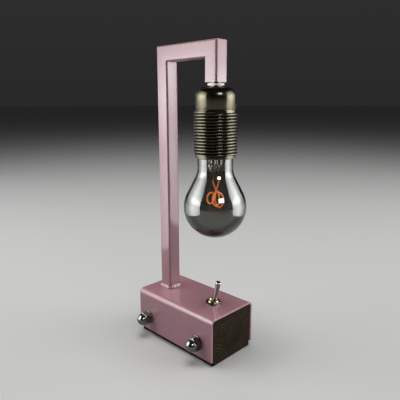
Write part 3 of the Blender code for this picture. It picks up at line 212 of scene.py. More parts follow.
def hex_rows(flats, high, steps, share=0.97):
    """Rows up the outside of a hexagon whose corners are turned off in cones of 30 degrees.

    The share is of the distance across the flats, for the circle that the cones leave."""
    sixth = pi / 3
    radius = flats / 2 / np.cos((angles_of(steps) + sixth / 2) % sixth - sixth / 2)
    circle = np.full(steps, flats / 2 * share)
    drop = (radius - circle) * tan(radians(30))
    return around(np.stack([circle, radius, radius, circle]),
                  np.stack([0 * drop, drop, high - drop, high + 0 * drop]), steps)


def swept(path, radius, sides):
    """A round bar along points, with round ends."""
    path = [Vector(p) for p in path]
    last = len(path) - 1
    tangents = [(path[min(i + 1, last)] - path[max(i - 1, 0)]).normalized()
                for i in range(len(path))]
    side = tangents[0].orthogonal().normalized()
    rows, flattened = [], 0.8

    def ring(centre, size):
        return [centre + (side * cos(a) + other * sin(a)) * size for a in angles_of(sides)]

    for i, (point, tangent) in enumerate(zip(path, tangents)):
        side = (side - tangent * side.dot(tangent)).normalized()
        other = tangent.cross(side)
        rows.append(ring(point, radius))
        if i in (0, last):
            outward = tangent * (1 if i else -1)
            caps = [ring(point + outward * radius * flattened * sin(radians(b)),
                         radius * cos(radians(b))) for b in (30, 60, 89)]
            rows = rows + caps if i else caps[::-1] + rows
    return ended(np.array([[tuple(p) for p in row] for row in rows]))


def smooth_path(points, count):
    """A Catmull-Rom line through points."""
    points = [np.array(p, float) for p in points]
    points = [2 * points[0] - points[1]] + points + [2 * points[-1] - points[-2]]
    spans, result = len(points) - 3, []
    for i in range(count + 1):
        where = spans * i / count
        k = min(int(where), spans - 1)
        t = where - k
        a, b, c, d = points[k:k + 4]
        result.append(tuple(0.5 * (2 * b + (c - a) * t + (2 * a - 5 * b + 4 * c - d) * t * t
                                   + (3 * b - a - 3 * c + d) * t ** 3)))
    return result


def inset(line, depth):
    """A line moved inward by a depth, along its normals."""
    line = np.array(line)
    way = np.gradient(line, axis=0)
    way /= np.linalg.norm(way, axis=1)[:, None]
    return line + np.stack([-way[:, 1], way[:, 0]], axis=1) * depth


def placed(shape, x=0, y=0, z=0, turn=None):
    """Points and faces after a turn and a move."""
    points, faces = shape
    matrix = Matrix.Translation((x, y, z)) @ (turn or Matrix.Identity(4))
    return [tuple(matrix @ Vector(p)) for p in points], faces


def turned(angle, axis="Z"):
    """A turn by an angle in degrees."""
    return Matrix.Rotation(radians(angle), 4, axis)


def frozen(thing):
    """The thing's mesh with its modifiers applied. The thing is then removed."""
    bpy.context.view_layer.update()
    seen = thing.evaluated_get(bpy.context.evaluated_depsgraph_get())
    mesh = bpy.data.meshes.new_from_object(seen)
    bpy.data.objects.remove(thing, do_unlink=True)
    return mesh


def cut(mesh, cutters):
    """A mesh less some closed shapes."""
    holder = bpy.data.objects.new("holder", mesh)
    SCENE.collection.objects.link(holder)
    tools = []
    for shape in cutters:
        tool = bpy.data.objects.new("tool", new_mesh("tool", *shape))
        SCENE.collection.objects.link(tool)
        tools.append(tool)
        step = holder.modifiers.new("cut", "BOOLEAN")
        step.object, step.operation, step.solver = tool, "DIFFERENCE", "EXACT"
    result = frozen(holder)
    for tool in tools:
        bpy.data.objects.remove(tool, do_unlink=True)
    return result


def piece(name, shape, look, body, nodes, sharp=38, bevel=None, mesh=None):
    """An object with a look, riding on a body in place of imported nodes."""
    mesh = mesh or new_mesh(name, *shape, sharp=sharp)
    thing = bpy.data.objects.new(name, mesh)
    SCENE.collection.objects.link(thing)
    mesh.materials.clear()
    mesh.materials.append(LOOKS[look])
    if bevel:
        edge = thing.modifiers.new("edges", "BEVEL")
        edge.width, edge.segments, edge.limit_method = bevel, 3 if bevel > 0.0005 else 2, "ANGLE"
        edge.angle_limit = radians(34)
        edge.harden_normals = True
    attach(thing, body)
    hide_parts(*nodes)
    return thing


# ---------------------------------------------------------------- materials

class Look:
    """A material and short ways to add nodes to it."""

    def __init__(self, name, colour, roughness, metallic=0, **numbers):
        self.material = bpy.data.materials.new(name)
        self.material.use_nodes = True
        self.tree = self.material.node_tree
        self.shader = self.tree.nodes["Principled BSDF"]
        self.shader.inputs["Base Color"].default_value = (*colour, 1)
        self.shader.inputs["Roughness"].default_value = roughness
        self.shader.inputs["Metallic"].default_value = metallic
        for key, value in numbers.items():
            self.shader.inputs[key.replace("_", " ")].default_value = value
        self.place = self.tree.nodes.new("ShaderNodeTexCoord").outputs["Object"]
        self.normal = None
        LOOKS[name] = self.material

    def node(self, kind, **settings):
        made = self.tree.nodes.new("ShaderNode" + kind)
        for key, value in settings.items():
            setattr(made, key, value)
        return made

    def link(self, source, target):
        self.tree.links.new(source, target)

    def put(self, socket, value):
        if hasattr(value, "links"):
            self.link(value, socket)
        else:
            socket.default_value = (*value, 1) if isinstance(value, tuple) else value

    def textured(self, kind, place, **numbers):
        """A texture node read at a place, by default the object's own coordinates."""
        made = self.node(kind)
        self.link(place or self.place, made.inputs["Vector"])
        for key, value in numbers.items():
            made.inputs[key].default_value = value
        return made

    def mapped(self, scale):
        return self.textured("Mapping", None, Scale=scale).outputs["Vector"]

    def noise(self, scale, detail=3, rough=0.5, place=None):
        made = self.textured("TexNoise", place, Scale=scale, Detail=detail, Roughness=rough)
        return made.outputs["Fac"]

    def cells(self, scale, place=None, randomness=1):
        made = self.textured("TexVoronoi", place, Scale=scale, Randomness=randomness)
        return made.outputs["Distance"]

    def axes(self):
        split = self.node("SeparateXYZ")
        self.link(self.place, split.inputs[0])
        return split.outputs

    def math(self, kind, a, b=0.0):
        made = self.node("Math", operation=kind)
        self.put(made.inputs[0], a)
        self.put(made.inputs[1], b)
        return made.outputs[0]

    def spread(self, value, low, high, first=0.0, last=1.0):
        """Turns low to high into first to last, and holds those outside the range."""
        made = self.node("MapRange")
        self.link(value, made.inputs["Value"])
        for key, number in (("From Min", low), ("From Max", high),
                            ("To Min", first), ("To Max", last)):
            made.inputs[key].default_value = number
        return made.outputs["Result"]

    def ramp(self, value, stops):
        made = self.node("ValToRGB")
        self.link(value, made.inputs["Fac"])
        fill_ramp(made.color_ramp, stops)
        return made.outputs["Color"]

    def mix(self, share, a, b):
        made = self.node("Mix", data_type="RGBA")
        self.put(made.inputs["Factor"], share)
        self.put(made.inputs[6], a)
        self.put(made.inputs[7], b)
        return made.outputs[2]

    def colour(self, value):
        self.link(value, self.shader.inputs["Base Color"])

    def rough(self, value):
        self.link(value, self.shader.inputs["Roughness"])

    def bump(self, height, distance, strength=1.0):
        """A bump on top of those before it."""
        made = self.node("Bump")
        made.inputs["Distance"].default_value = distance
        made.inputs["Strength"].default_value = strength
        self.link(height, made.inputs["Height"])
        if self.normal:
            self.link(self.normal, made.inputs["Normal"])
        self.normal = made.outputs["Normal"]
        self.link(self.normal, self.shader.inputs["Normal"])


def fill_ramp(ramp, stops):
    """Gives a colour ramp its (place, colour) stops."""
    while len(ramp.elements) < len(stops):
        ramp.elements.new(0.5)
    for element, (place, colour) in zip(ramp.elements, stops):
        element.position, element.color = place, (*colour, 1)


def shade(colour, factor):
    return tuple(min(c * factor, 1) for c in colour)


def make_paint(name, pink):
    """Gloss paint: a cloudy tone with fine dark and light specks, under a rippled coat."""
    look = Look(name, pink, 0.5, Specular_IOR_Level=0.1,
                Coat_Weight=0.8, Coat_Roughness=0.09, Coat_IOR=1.5)
    cloud, fine, specks = look.noise(16), look.noise(900, 2), look.noise(2600, 1)
    tone = look.mix(look.spread(cloud, 0.35, 0.65), shade(pink, 0.97), shade(pink, 1.03))
    tone = look.mix(look.spread(fine, 0.50, 0.80, 0, 0.30), tone, shade(pink, 0.88))
    tone = look.mix(look.spread(specks, 0.66, 0.80, 0, 0.22), tone, shade(pink, 1.25))
    look.colour(tone)
    look.rough(look.spread(look.noise(90), 0.3, 0.7, 0.46, 0.56))
    look.bump(look.noise(420, 2, 0.45), 0.000012)
    look.link(look.normal, look.shader.inputs["Coat Normal"])


def make_wood():
    """Dark oiled end grain: rings round a heart outside the block, broken into golden streaks."""
    heart_y, heart_z, wander, ring_width, fine_width = -0.040, -0.016, 0.009, 0.0026, 0.0011
    look = Look("end_wood", (0.03, 0.02, 0.012), 0.6, Specular_IOR_Level=0.06)
    axes = look.axes()
    wobble = look.noise(26, place=look.mapped((0.2, 1, 1)))
    dy = look.math("SUBTRACT", axes["Y"], heart_y)
    dz = look.math("SUBTRACT", axes["Z"], heart_z)
    far = look.math("SQRT", look.math("ADD", look.math("MULTIPLY", dy, dy),
                                      look.math("MULTIPLY", dz, dz)))
    stray = look.math("MULTIPLY", look.math("SUBTRACT", wobble, 0.5), wander)
    far = look.math("ADD", far, stray)
    ring = look.math("FRACT", look.math("DIVIDE", far, ring_width))
    thin = look.math("FRACT", look.math("DIVIDE", far, fine_width))
    late = look.spread(ring, 0.45, 1.0)
    golden = look.math("MULTIPLY", look.spread(ring, 0.0, 0.12),
                       look.spread(ring, 0.14, 0.46, 1.0, 0.0))
    along = look.mapped((0.06, 1, 1))
    fibre = look.noise(1500, 2, 0.6, along)
    broken = look.spread(look.noise(90, 4, 0.62, along), 0.42, 0.66)
    hole = look.spread(look.cells(1000, along), 0.10, 0.34, 1.0, 0.0)
    brown = look.ramp(fibre, [(0.30, (0.0052, 0.0028, 0.0016)), (0.50, (0.0130, 0.0080, 0.0038)),
                              (0.72, (0.029, 0.0190, 0.0084))])
    stain = look.spread(look.noise(40, 4, 0.6), 0.52, 0.70, 0, 0.65)
    # painted shade: it darkens toward the sheet, at the sides and above, where the sheet's edge
    # shades the wood
    from_top = look.math("SUBTRACT", axes["Z"], 0.0187)
    edge = look.math("MAXIMUM", look.math("ABSOLUTE", axes["Y"]), from_top)
    for share, colour in (
            (look.math("MULTIPLY", look.spread(thin, 0.1, 0.9), 0.50), (0.026, 0.017, 0.0075)),
            (look.math("MULTIPLY", golden, look.math("MULTIPLY", broken, 0.62)),
             (0.105, 0.080, 0.037)),
            (look.math("MULTIPLY", late, 0.55), (0.0085, 0.0055, 0.004)),
            (look.math("MULTIPLY", hole, 0.6), (0.004, 0.0025, 0.002)),
            (stain, (0.011, 0.006, 0.006)),
            (look.spread(edge, 0.0252, 0.0272, 0, 0.85), (0.006, 0.002, 0.002))):
        brown = look.mix(share, brown, colour)
    look.colour(brown)
    look.rough(look.spread(fibre, 0.2, 0.8, 0.48, 0.70))
    look.bump(fibre, 0.00010, 0.7)
    look.bump(hole, -0.00018, 0.8)


def make_metal(name, colour, low, high, scratches=0, blot=0.0, tint=None, grain=900):
    """Plated or bare metal with uneven polish, faint marks and perhaps blots of a second tint."""
    look = Look(name, colour, low, 1.0)
    cloud = look.noise(160, 4, 0.6)
    tone = look.mix(look.spread(cloud, 0.35, 0.7), shade(colour, 0.90), shade(colour, 1.05))
    if tint:
        tone = look.mix(look.spread(look.noise(95, 4, 0.65), 0.5, 0.72, 0, blot), tone, tint)
    look.colour(tone)
    look.rough(look.spread(look.noise(grain, 3, 0.6), 0.3, 0.75, low, high))
    if scratches:
        look.bump(look.noise(grain, 2, place=look.mapped((1, 1, 14))), 0.000004 * scratches)
    look.bump(look.noise(500, 2), 0.000005)


def make_plain(name, colour, low, high, grain, depth, coat=0.0):
    """Moulded plastic, rubber or ceramic, with a speckle and a fine uneven surface."""
    look = Look(name, colour, low, Coat_Weight=coat, Coat_Roughness=0.08)
    fine, cloud = look.noise(grain, 3, 0.6), look.noise(grain * 0.11, 4, 0.6)
    tone = look.mix(look.spread(fine, 0.3, 0.75), shade(colour, 0.86), shade(colour, 1.12))
    tone = look.mix(look.spread(cloud, 0.45, 0.7, 0, 0.4), tone, shade(colour, 0.78))
    look.colour(tone)
    look.rough(look.spread(look.noise(grain * 0.5, 2), 0.3, 0.7, low, high))
    look.bump(fine, depth)


def make_glass(name, tint, thin, thick, mirror, rough, ripple, sheen=1.1):
    """Thin glass: it passes a tinted view straight on and mirrors the rest, more at its edges."""
    look = Look(name, tint, rough)
    look.tree.nodes.remove(look.shader)
    output = look.tree.nodes["Material Output"]
    edge = look.node("LayerWeight")
    edge.inputs["Blend"].default_value = 0.28
    streak = look.noise(38, 2, place=look.mapped((1, 1, 0.35)))
    passed = look.mix(look.math("POWER", edge.outputs["Facing"], 1.6), thin, thick)
    passed = look.mix(look.spread(streak, 0.3, 0.7, 0.0, 0.12), passed, thick)
    clear = look.node("BsdfTransparent")
    look.link(passed, clear.inputs["Color"])
    shine = look.node("BsdfGlossy")
    shine.inputs["Color"].default_value = (*tint, 1)
    look.link(look.spread(streak, 0.3, 0.7, rough, rough * 1.8), shine.inputs["Roughness"])
    wave = look.node("Bump")
    wave.inputs["Distance"].default_value = ripple
    look.link(streak, wave.inputs["Height"])
    look.link(wave.outputs["Normal"], shine.inputs["Normal"])
    both = look.node("MixShader")
    fresnel = look.math("MULTIPLY", edge.outputs["Fresnel"], sheen)
    look.link(look.math("ADD", fresnel, mirror), both.inputs[0])
    look.link(clear.outputs[0], both.inputs[1])
    look.link(shine.outputs[0], both.inputs[2])
    look.link(both.outputs[0], output.inputs["Surface"])


def make_filament():
    """An amber strip with a soft painted glow, uneven along its length: it gives light of its own
    though the bulb is not lit. Its legs glow less than its loops.
    """
    loops_end, legs_start = 0.162, 0.168
    look = Look("amber_filament", (0.95, 0.26, 0.05), 0.35, Specular_IOR_Level=0.5)
    dots = look.cells(1500, randomness=0.3)
    tone = look.mix(look.spread(dots, 0.2, 0.6), (1.0, 0.40, 0.09), (0.75, 0.13, 0.02))
    hot, cool = look.noise(300, 2), look.noise(190, 2)
    leg = look.spread(look.axes()["Z"], loops_end, legs_start, 0, 0.75)
    tone = look.mix(look.spread(hot, 0.42, 0.62, 0, 0.8), tone, (1.0, 0.58, 0.26))
    tone = look.mix(leg, tone, (0.30, 0.10, 0.05))
    tone = look.mix(look.spread(cool, 0.40, 0.60, 0.0, 0.65), tone, (0.42, 0.09, 0.015))
    look.colour(tone)
    # painted glow: the strip's own colour is also its light, at a strength of 2.6
    look.link(tone, look.shader.inputs["Emission Color"])
    look.shader.inputs["Emission Strength"].default_value = 2.6
    look.bump(dots, 0.00006)


# name, colour, roughness from and to, scratches, then share, tint and grain of a second tone
METALS = (
    # chrome is made much darker than real chrome, so that it mirrors the pale floor as dark:
    # painted shade. bright_chrome is the same chrome made lighter for the lever: a painted
    # highlight
    ("chrome", (0.15, 0.144, 0.135), 0.05, 0.10, 1),
    ("bright_chrome", (0.36, 0.345, 0.32), 0.06, 0.12, 1),
    ("gilt_chrome", (0.24, 0.205, 0.145), 0.08, 0.15, 1, 0.5, (0.22, 0.17, 0.10)),
    ("black_chrome", (0.061, 0.057, 0.039), 0.17, 0.23, 1, 0.4, (0.044, 0.040, 0.028), 1400),
    ("zinc_steel", (0.48, 0.48, 0.47), 0.28, 0.42, 2, 0.5, (0.38, 0.37, 0.33)),
    ("brass", (0.72, 0.50, 0.19), 0.22, 0.36, 2, 0.6, (0.50, 0.31, 0.11)),
    ("nickel", (0.60, 0.57, 0.50), 0.18, 0.32, 2, 0.5, (0.46, 0.43, 0.36)),
    ("solder", (0.55, 0.55, 0.54), 0.30, 0.50, 0, 0.6, (0.40, 0.40, 0.40)),
    ("hot_copper", (0.86, 0.36, 0.14), 0.25, 0.38, 1, 0.6, (0.95, 0.50, 0.22)),
)
# name, colour, roughness from and to, grain, its depth, coat
PLAINS = (
    ("black_plastic", (0.018, 0.018, 0.019), 0.32, 0.50, 1600, 0.00003),
    ("black_flex", (0.022, 0.021, 0.020), 0.45, 0.60, 900, 0.00004),
    ("porcelain", (0.78, 0.76, 0.71), 0.20, 0.34, 700, 0.00003, 0.6),
    ("black_glass", (0.012, 0.012, 0.014), 0.08, 0.16, 800, 0.00002, 0.8),
)
# name, mirrored tint, passed tint face-on and at the edge, mirror, roughness, ripple, sheen
GLASSES = (
    ("smoked_glass", (0.93, 0.96, 0.92), (0.48, 0.465, 0.45), (0.30, 0.30, 0.29),
     0.06, 0.04, 0.00001),
    ("smoked_inside", (0.93, 0.96, 0.92), (0.55, 0.535, 0.52), (0.40, 0.40, 0.39),
     0.0, 0.05, 0.00002, 0.10),
    ("clear_glass", (1.0, 1.0, 0.96), (0.80, 0.81, 0.80), (0.55, 0.56, 0.55),
     0.95, 0.12, 0.0001),
)


def make_looks():
    make_paint("paint", PINK)
    # a lighter copy of the paint, for a painted highlight on the cover's cut ends and bevels
    make_paint("paint_edge_highlight", shade(PINK, 1.6))
    make_wood()
    for make, rows in ((make_metal, METALS), (make_plain, PLAINS), (make_glass, GLASSES)):
        for row in rows:
            make(*row)
    make_filament()


# ---------------------------------------------------------------- base

def build_cover():
    side, low, top = BASE_WIDTH / 2, COVER_LIFT, COVER_TOP
    inner, half = side - SHEET, BASE_LENGTH / 2
    outline = filleted([(-side, low), (-side, top, BEND), (side, top, BEND), (side, low),
                        (inner, low), (inner, top - SHEET, BEND - SHEET),
                        (-inner, top - SHEET, BEND - SHEET), (-inner, low)], segments=14)
    points, faces = grid(np.array([[(x, y, z) for y, z in outline] for x in (-half, half)]))
    # each end is a strip between the outer and the inner outline
    count = len(outline)
    for base in (0, count):
        for i in range(count // 2 - 1):
            faces.append((base + i, base + i + 1, base + count - 2 - i, base + count - 1 - i))
    crease = 30
    sheet = new_mesh("cover", points, faces, sharp=crease)
    holes = [placed(rod(ROD_BORE, -side * 1.1, side * 1.1), x, 0, ROD_HEIGHT, turned(90, "X"))
             for x in ROD_X]
    holes += [placed(rod(radius, top - 2 * SHEET, top + SHEET), x)
              for radius, x in ((BUSHING_RADIUS + GAP, SWITCH_X), (FLEX_HOLE, POST_X))]
    sheet = cut(sheet, holes)
    sheet.shade_smooth()
    sheet.set_sharp_from_angle(angle=radians(crease))
    cover = piece("folded_cover", None, "paint", "lamp", ["base_cover"], bevel=0.0006, mesh=sheet)
    # the cut ends of the sheet and the bevels of its edges are painted lighter than its faces: a
    # painted highlight
    sheet.materials.append(LOOKS["paint_edge_highlight"])
    for face in sheet.polygons:
        at_end = abs(face.normal.x) > 0.9 and abs(face.center.x) > half - SHEET
        face.material_index = 1 if at_end else 0
    cover.modifiers["edges"].material = 1


def nut(flats, height, bore, steps=96):
    """A hexagon nut, with its corners turned off top and bottom."""
    ease = 0.0003
    mouth = bore + 0.0002
    inside = ring_rows([(mouth, height), (bore, height - ease), (bore, ease), (mouth, 0)], steps)
    return grid(np.concatenate([hex_rows(flats, height, steps), inside]), wrap_rows=True)


def dome_nut(steps=96):
    """A hexagon with turned corners, a short neck, and a dome; the thread's hole is blind."""
    ease = 0.0003
    hole = [(0, DOME_NUT_DEPTH), (ROD_BORE, DOME_NUT_DEPTH), (ROD_BORE, ease),
            (ROD_BORE + ease, 0)]
    sides = hex_rows(DOME_NUT_FLATS, DOME_NUT_HEX, steps, share=0.965)
    flare = 0.00006
    foot = [(DOME_NUT_DOME + flare, DOME_NUT_HEX)]
    dome = arc((0, DOME_NUT_HEX), DOME_NUT_DOME, 0, 90, 20)
    return grid(np.concatenate([ring_rows(hole, steps), sides, ring_rows(foot + dome, steps)]))


def build_rods():
    ring = revolved(filleted([(ROD_BORE, 0), (WASHER_RADIUS, 0, 0.0001),
                              (WASHER_RADIUS, WASHER_THICKNESS, 0.0004),
                              (ROD_BORE, WASHER_THICKNESS, 0.0002)]))
    for side, x, twist in zip(("left", "right"), ROD_X, (12, -9)):
        for face, way in (("front", -1), ("back", 1)):
            label = f"{side}_{face}"
            outward = turned(-90 * way, "X")
            seat = way * (BASE_WIDTH / 2 + STACK)
            piece("washer_" + label, placed(ring, x, seat, ROD_HEIGHT, outward), "chrome", "lamp",
                  ["rod_washer_" + label])
            seat += way * (WASHER_THICKNESS + STACK)
            piece("acorn_nut_" + label,
                  placed(dome_nut(), x, seat, ROD_HEIGHT, outward @ turned(twist)),
                  "chrome", "lamp", ["dome_nut_" + label], bevel=0.00018)


# ---------------------------------------------------------------- frame

def square_ring(half, corner, segments=7):
    """A square with round corners, from its own half width."""
    points = []
    for k, (sx, sy) in enumerate(((1, 1), (-1, 1), (-1, -1), (1, -1))):
        middle = (sx * (half - corner), sy * (half - corner))
        points += arc(middle, corner, 90 * k, 90 * k + 90, segments)
    return points


def frame_rows(ring, low, segments=4):
    """Stations of the tube from the post's foot, round both mitred corners, to the drop's end."""
    top, ease = FRAME_TOP - TUBE / 2, 0.0007
    turns = [pi / 2 * k / segments for k in range(segments + 1)]
    stations = [[(POST_X - a, b, low) for a, b in ring]]
    for t in turns:
        stations.append([(POST_X - a + ease * (1 - cos(t)), b, top + a - ease * (1 - sin(t)))
                         for a, b in ring])
    for t in turns:
        stations.append([(DROP_X + a - ease * (1 - sin(t)), b, top + a - ease * (1 - cos(t)))
                         for a, b in ring])
    stations.append([(DROP_X + a, b, DROP_END) for a, b in ring])
    return np.array(stations)


def build_frame():
    low = COVER_TOP + GAP
    outside = frame_rows(square_ring(TUBE / 2, TUBE_CORNER), low)
    inside = frame_rows(square_ring(TUBE / 2 - TUBE_WALL, TUBE_CORNER - TUBE_WALL), low)
    piece("welded_frame", grid(np.concatenate([outside, inside[::-1]]), wrap_rows=True), "paint",
          "lamp", ["post_tube", "arm_tube", "drop_tube"], sharp=30, bevel=0.0003)
    piece("weld_bead", placed(bead(), POST_X, 0, low), "paint", "lamp", ["post_weld_bead"],
          sharp=70)


def bead(steps=288):
    """The weld bead: uneven lumps along each side of the post, thinner round its corners."""
    half, corner = TUBE / 2 + GAP, TUBE_CORNER
    reach, rise, quarter = 0.0026, 0.0038, 12
    thin_from, thinning = 0.0034, 0.42
    straight = 2 * (half - corner)
    side_length = straight + corner * pi / 2
    # a section between a chord and a quarter circle, so that it bulges a little
    section = []
    for step in range(quarter + 1):
        turn, share = pi / 2 * step / quarter, step / quarter
        section.append((reach * (0.55 * sin(turn) + 0.45 * share),
                        rise * (0.55 * cos(turn) + 0.45 * (1 - share))))
    section.append((0, 0))
    lumps = np.random.default_rng(7).uniform(0.85, 1.12, 26)
    rows = []
    for step in range(steps):
        side, along = divmod(4 * side_length * step / steps, side_length)
        if along < straight:
            point, normal = Vector((half, along - straight / 2)), Vector((1, 0))
            from_corner = min(along, straight - along) + corner
        else:
            angle = (along - straight) / corner
            normal = Vector((cos(angle), sin(angle)))
            point = Vector((half - corner, straight / 2)) + corner * normal
            from_corner = abs(angle - pi / 4) * corner
        spin = Matrix.Rotation(side * pi / 2, 2)
        point, normal = spin @ point, spin @ normal
        lump, t = divmod(len(lumps) * step / steps, 1)
        lump = int(lump)
        t = t * t * (3 - 2 * t)
        size = lumps[lump] * (1 - t) + lumps[(lump + 1) % len(lumps)] * t
        size *= 1 - thinning * max(0, 1 - from_corner / thin_from)
        rows.append([(point.x + normal.x * out * size, point.y + normal.y * out * size, up * size)
                     for out, up in section])
    return grid(np.array(rows), wrap_rows=True)


# ---------------------------------------------------------------- switch

def build_switch():
    build_bushing()
    seat, bore = COVER_TOP + STACK, BUSHING_RADIUS + GAP
    nut_flats, nut_height = 0.014, 0.0016
    washer = revolved(filleted([(bore, 0), (LOCK_RADIUS, 0, 0.0001),
                                (LOCK_RADIUS, LOCK_THICKNESS, 0.00015), (bore, LOCK_THICKNESS)],
                               segments=3))
    piece("toggle_washer", placed(washer, SWITCH_X, 0, seat), "chrome", "lamp", ["switch_washer"])
    seat += LOCK_THICKNESS + STACK
    piece("toggle_nut", placed(nut(nut_flats, nut_height, bore), SWITCH_X, 0, seat, turned(-8)),
          "gilt_chrome", "lamp", ["switch_nut"], bevel=0.00012)
    build_lever()


def build_bushing(steps=96):
    """A threaded sleeve with a cupped mouth, on a plate under the cover."""
    plate_depth, plate_thickness, plate_length, plate_width = 0.0031, 0.0012, 0.0286, 0.0148
    top = COVER_TOP + BUSHING_RISE
    plate_top = COVER_TOP - SHEET - plate_depth
    plate_low = plate_top - plate_thickness
    thread_top, thread_depth = top - 0.0004, 0.00028
    cup, waist, throat = 0.0043, 0.0029, 0.0035
    heights = np.linspace(thread_top, plate_top, 90)
    thread = helix_rows(heights, steps, root=BUSHING_RADIUS - thread_depth, crest=BUSHING_RADIUS,
                        pitch=0.00075, start=plate_top + 0.0006, turns=9.4, shape=round_ridge,
                        fade=0.2)
    mouth = filleted([(BUSHING_RADIUS - 0.0003, thread_top),
                      (BUSHING_RADIUS - 0.0006, top, 0.0001), (cup, top, 0.0003),
                      (waist, PIVOT + 0.0025, 0.0002), (waist, PIVOT + 0.0019),
                      (throat, PIVOT + 0.0003), (throat, plate_low)])
    rows = [ring_rows([(BUSHING_RADIUS, plate_low)], steps), thread[::-1], ring_rows(mouth, steps)]
    # the plate sits a hair low, so that no two faces coincide
    middle = (plate_top + plate_low) / 2 - 0.00001
    plate = box((plate_length, plate_width, plate_thickness), (0, 0, middle))
    sleeve = grid(np.concatenate(rows), wrap_rows=True)
    piece("toggle_bushing", placed(joined(sleeve, plate), SWITCH_X), "gilt_chrome", "lamp",
          ["switch_bushing"])


def build_lever():
    """The lever leans to +X at rest and turns on its ball."""
    ball, neck, tip, length, round_over = 0.0032, 0.0014, 0.00275, 0.0274, 0.0011
    tail, tail_radius, tail_ease = 0.0052, 0.0011, 0.0003
    neck_angle, tail_angle = degrees(asin(neck / ball)), degrees(asin(tail_radius / ball))
    foot, head = ball * 0.95, length - round_over
    outline = [(0, length)] + arc((tip - round_over, head), round_over, 90, 0, 10)
    outline += [(neck + (tip - neck) * s ** 1.15, foot + (head - foot) * s)
                for s in np.linspace(0.97, 0.03, 20)]
    outline += arc((0, 0), ball, 90 - neck_angle, tail_angle - 90, 20)
    outline += [(tail_radius, -tail + tail_ease), (tail_radius - tail_ease, -tail), (0, -tail)]
    lever = revolved(outline, 64, closed=False)
    # the lever wears the lighter copy of the chrome, for a painted highlight
    piece("bat_lever", placed(lever, SWITCH_X, 0, PIVOT, turned(LEVER_LEAN, "Y")), "bright_chrome",
          "toggle_lever", ["switch_lever"])


# ---------------------------------------------------------------- lampholder

def build_holder():
    lock_nut = nut(flats=0.015, height=0.00305, bore=HOLDER_BORE)
    piece("holder_lock_nut", placed(lock_nut, DROP_X, 0, HOLDER_TOP + GAP, turned(-15)), "chrome",
          "lamp", ["nipple_nut"], bevel=0.00015)
    wall, shoulder, drop = 0.0012, 0.0078, 0.0005
    flat, collar, collar_end = 0.0089, 0.008, -0.0071
    bottom, inner = -HOLDER_CAP_HEIGHT, HOLDER_ROOT - wall
    centre = (HOLDER_ROOT - shoulder, -drop - shoulder)
    profile = [(HOLDER_BORE, 0), (flat, 0), (flat + 0.0003, -0.0001),
               *arc(centre, shoulder, 90, 0, 28),
               (HOLDER_ROOT, bottom + 0.0003), (HOLDER_ROOT - 0.0003, bottom), (inner, bottom),
               *arc(centre, shoulder - wall, 0, 90, 10),
               (collar, -drop - wall), (collar, collar_end), (HOLDER_BORE, collar_end)]
    piece("holder_cap", placed(revolved(profile, 192), DROP_X, 0, HOLDER_TOP), "black_chrome",
          "lamp", ["holder_dome"], sharp=50)
    piece("holder_threaded_mantle", placed(mantle(), DROP_X, 0, HOLDER_TOP), "black_chrome",
          "lamp", ["holder_mantle"], sharp=50)


def mantle(steps=256):
    """The lampholder's lower half: a coarse thread, a plain rim and a ledge for the core."""
    top = -HOLDER_CAP_HEIGHT - GAP
    low = top - MANTLE_HEIGHT
    rim_top, ledge = low + 0.0029, low + 0.0071
    rim, mouth, lip, lip_height, bore = 0.019, 0.0178, 0.0154, 0.0014, 0.017
    spigot, socket, step_down, spigot_top = 0.0159, 0.0173, top - 0.0021, top + 0.0064
    heights = np.linspace(top - 0.0002, rim_top + 0.0001, 300)
    thread = helix_rows(heights, steps, HOLDER_ROOT, HOLDER_CREST, pitch=0.00275,
                        start=low + 0.00256, turns=14.5, shape=round_crest, phase=radians(-207))
    rest = filleted([(HOLDER_ROOT, rim_top), (rim, rim_top, 0.0003), (rim, low, 0.0005),
                     (mouth, low, 0.0004), (mouth, ledge), (lip, ledge, 0.0002),
                     (lip, ledge + lip_height), (bore, ledge + lip_height), (bore, step_down),
                     (spigot, step_down), (spigot, spigot_top), (socket, spigot_top),
                     (socket, top), (HOLDER_ROOT, top)])
    return grid(np.concatenate([thread, ring_rows(rest, steps)]), wrap_rows=True)


# ---------------------------------------------------------------- bulb

def bulb_piece(name, shape, look, node, sharp=38):
    return piece(name, placed(shape, DROP_X, 0, BULB_RIM), look, "bulb", [node], sharp=sharp)


def bulb_outline():
    """The globe's outer line: from its pole, up the cone and the neck, to its tail in the cap."""
    cone, neck, fillet, shoulder, tail = 27.5, 0.01685, 0.020, 0.0042, 0.01145
    shoulder_height, tail_top = -0.0056, 0.0036
    points = arc((0, GLOBE_CENTRE), GLOBE_RADIUS, -90, cone, 64)
    cone_radius, cone_height = points[-1]
    vertex = cone_height + (cone_radius - neck) / tan(radians(cone))
    reach = fillet * tan(radians(cone) / 2)
    points += arc((neck + fillet, vertex + reach), fillet, 180 + cone, 180, 16)
    points += arc((neck - shoulder, shoulder_height), shoulder, 0, 75, 12)
    return points + [(tail, -GAP), (tail, tail_top)]


def build_globe():
    outline = bulb_outline()
    inner = inset(outline, GLASS_WALL)
    inner[0] = (0, outline[0][1] + GLASS_WALL)
    inner[-1] = (outline[-1][0] - GLASS_WALL, outline[-1][1])
    glass = revolved(outline + [tuple(p) for p in inner[::-1]], 160, closed=False)
    globe = bulb_piece("globe", glass, "smoked_glass", "bulb_glass", sharp=60)
    # the coat that mirrors is on the outside only
    globe.data.materials.append(LOOKS["smoked_inside"])
    for face in globe.data.polygons:
        above = face.center.z - BULB_RIM - GLOBE_CENTRE
        outward = Vector((face.center.x - DROP_X, face.center.y, min(above, 0)))
        face.material_index = 1 if face.normal.dot(outward) < 0 else 0


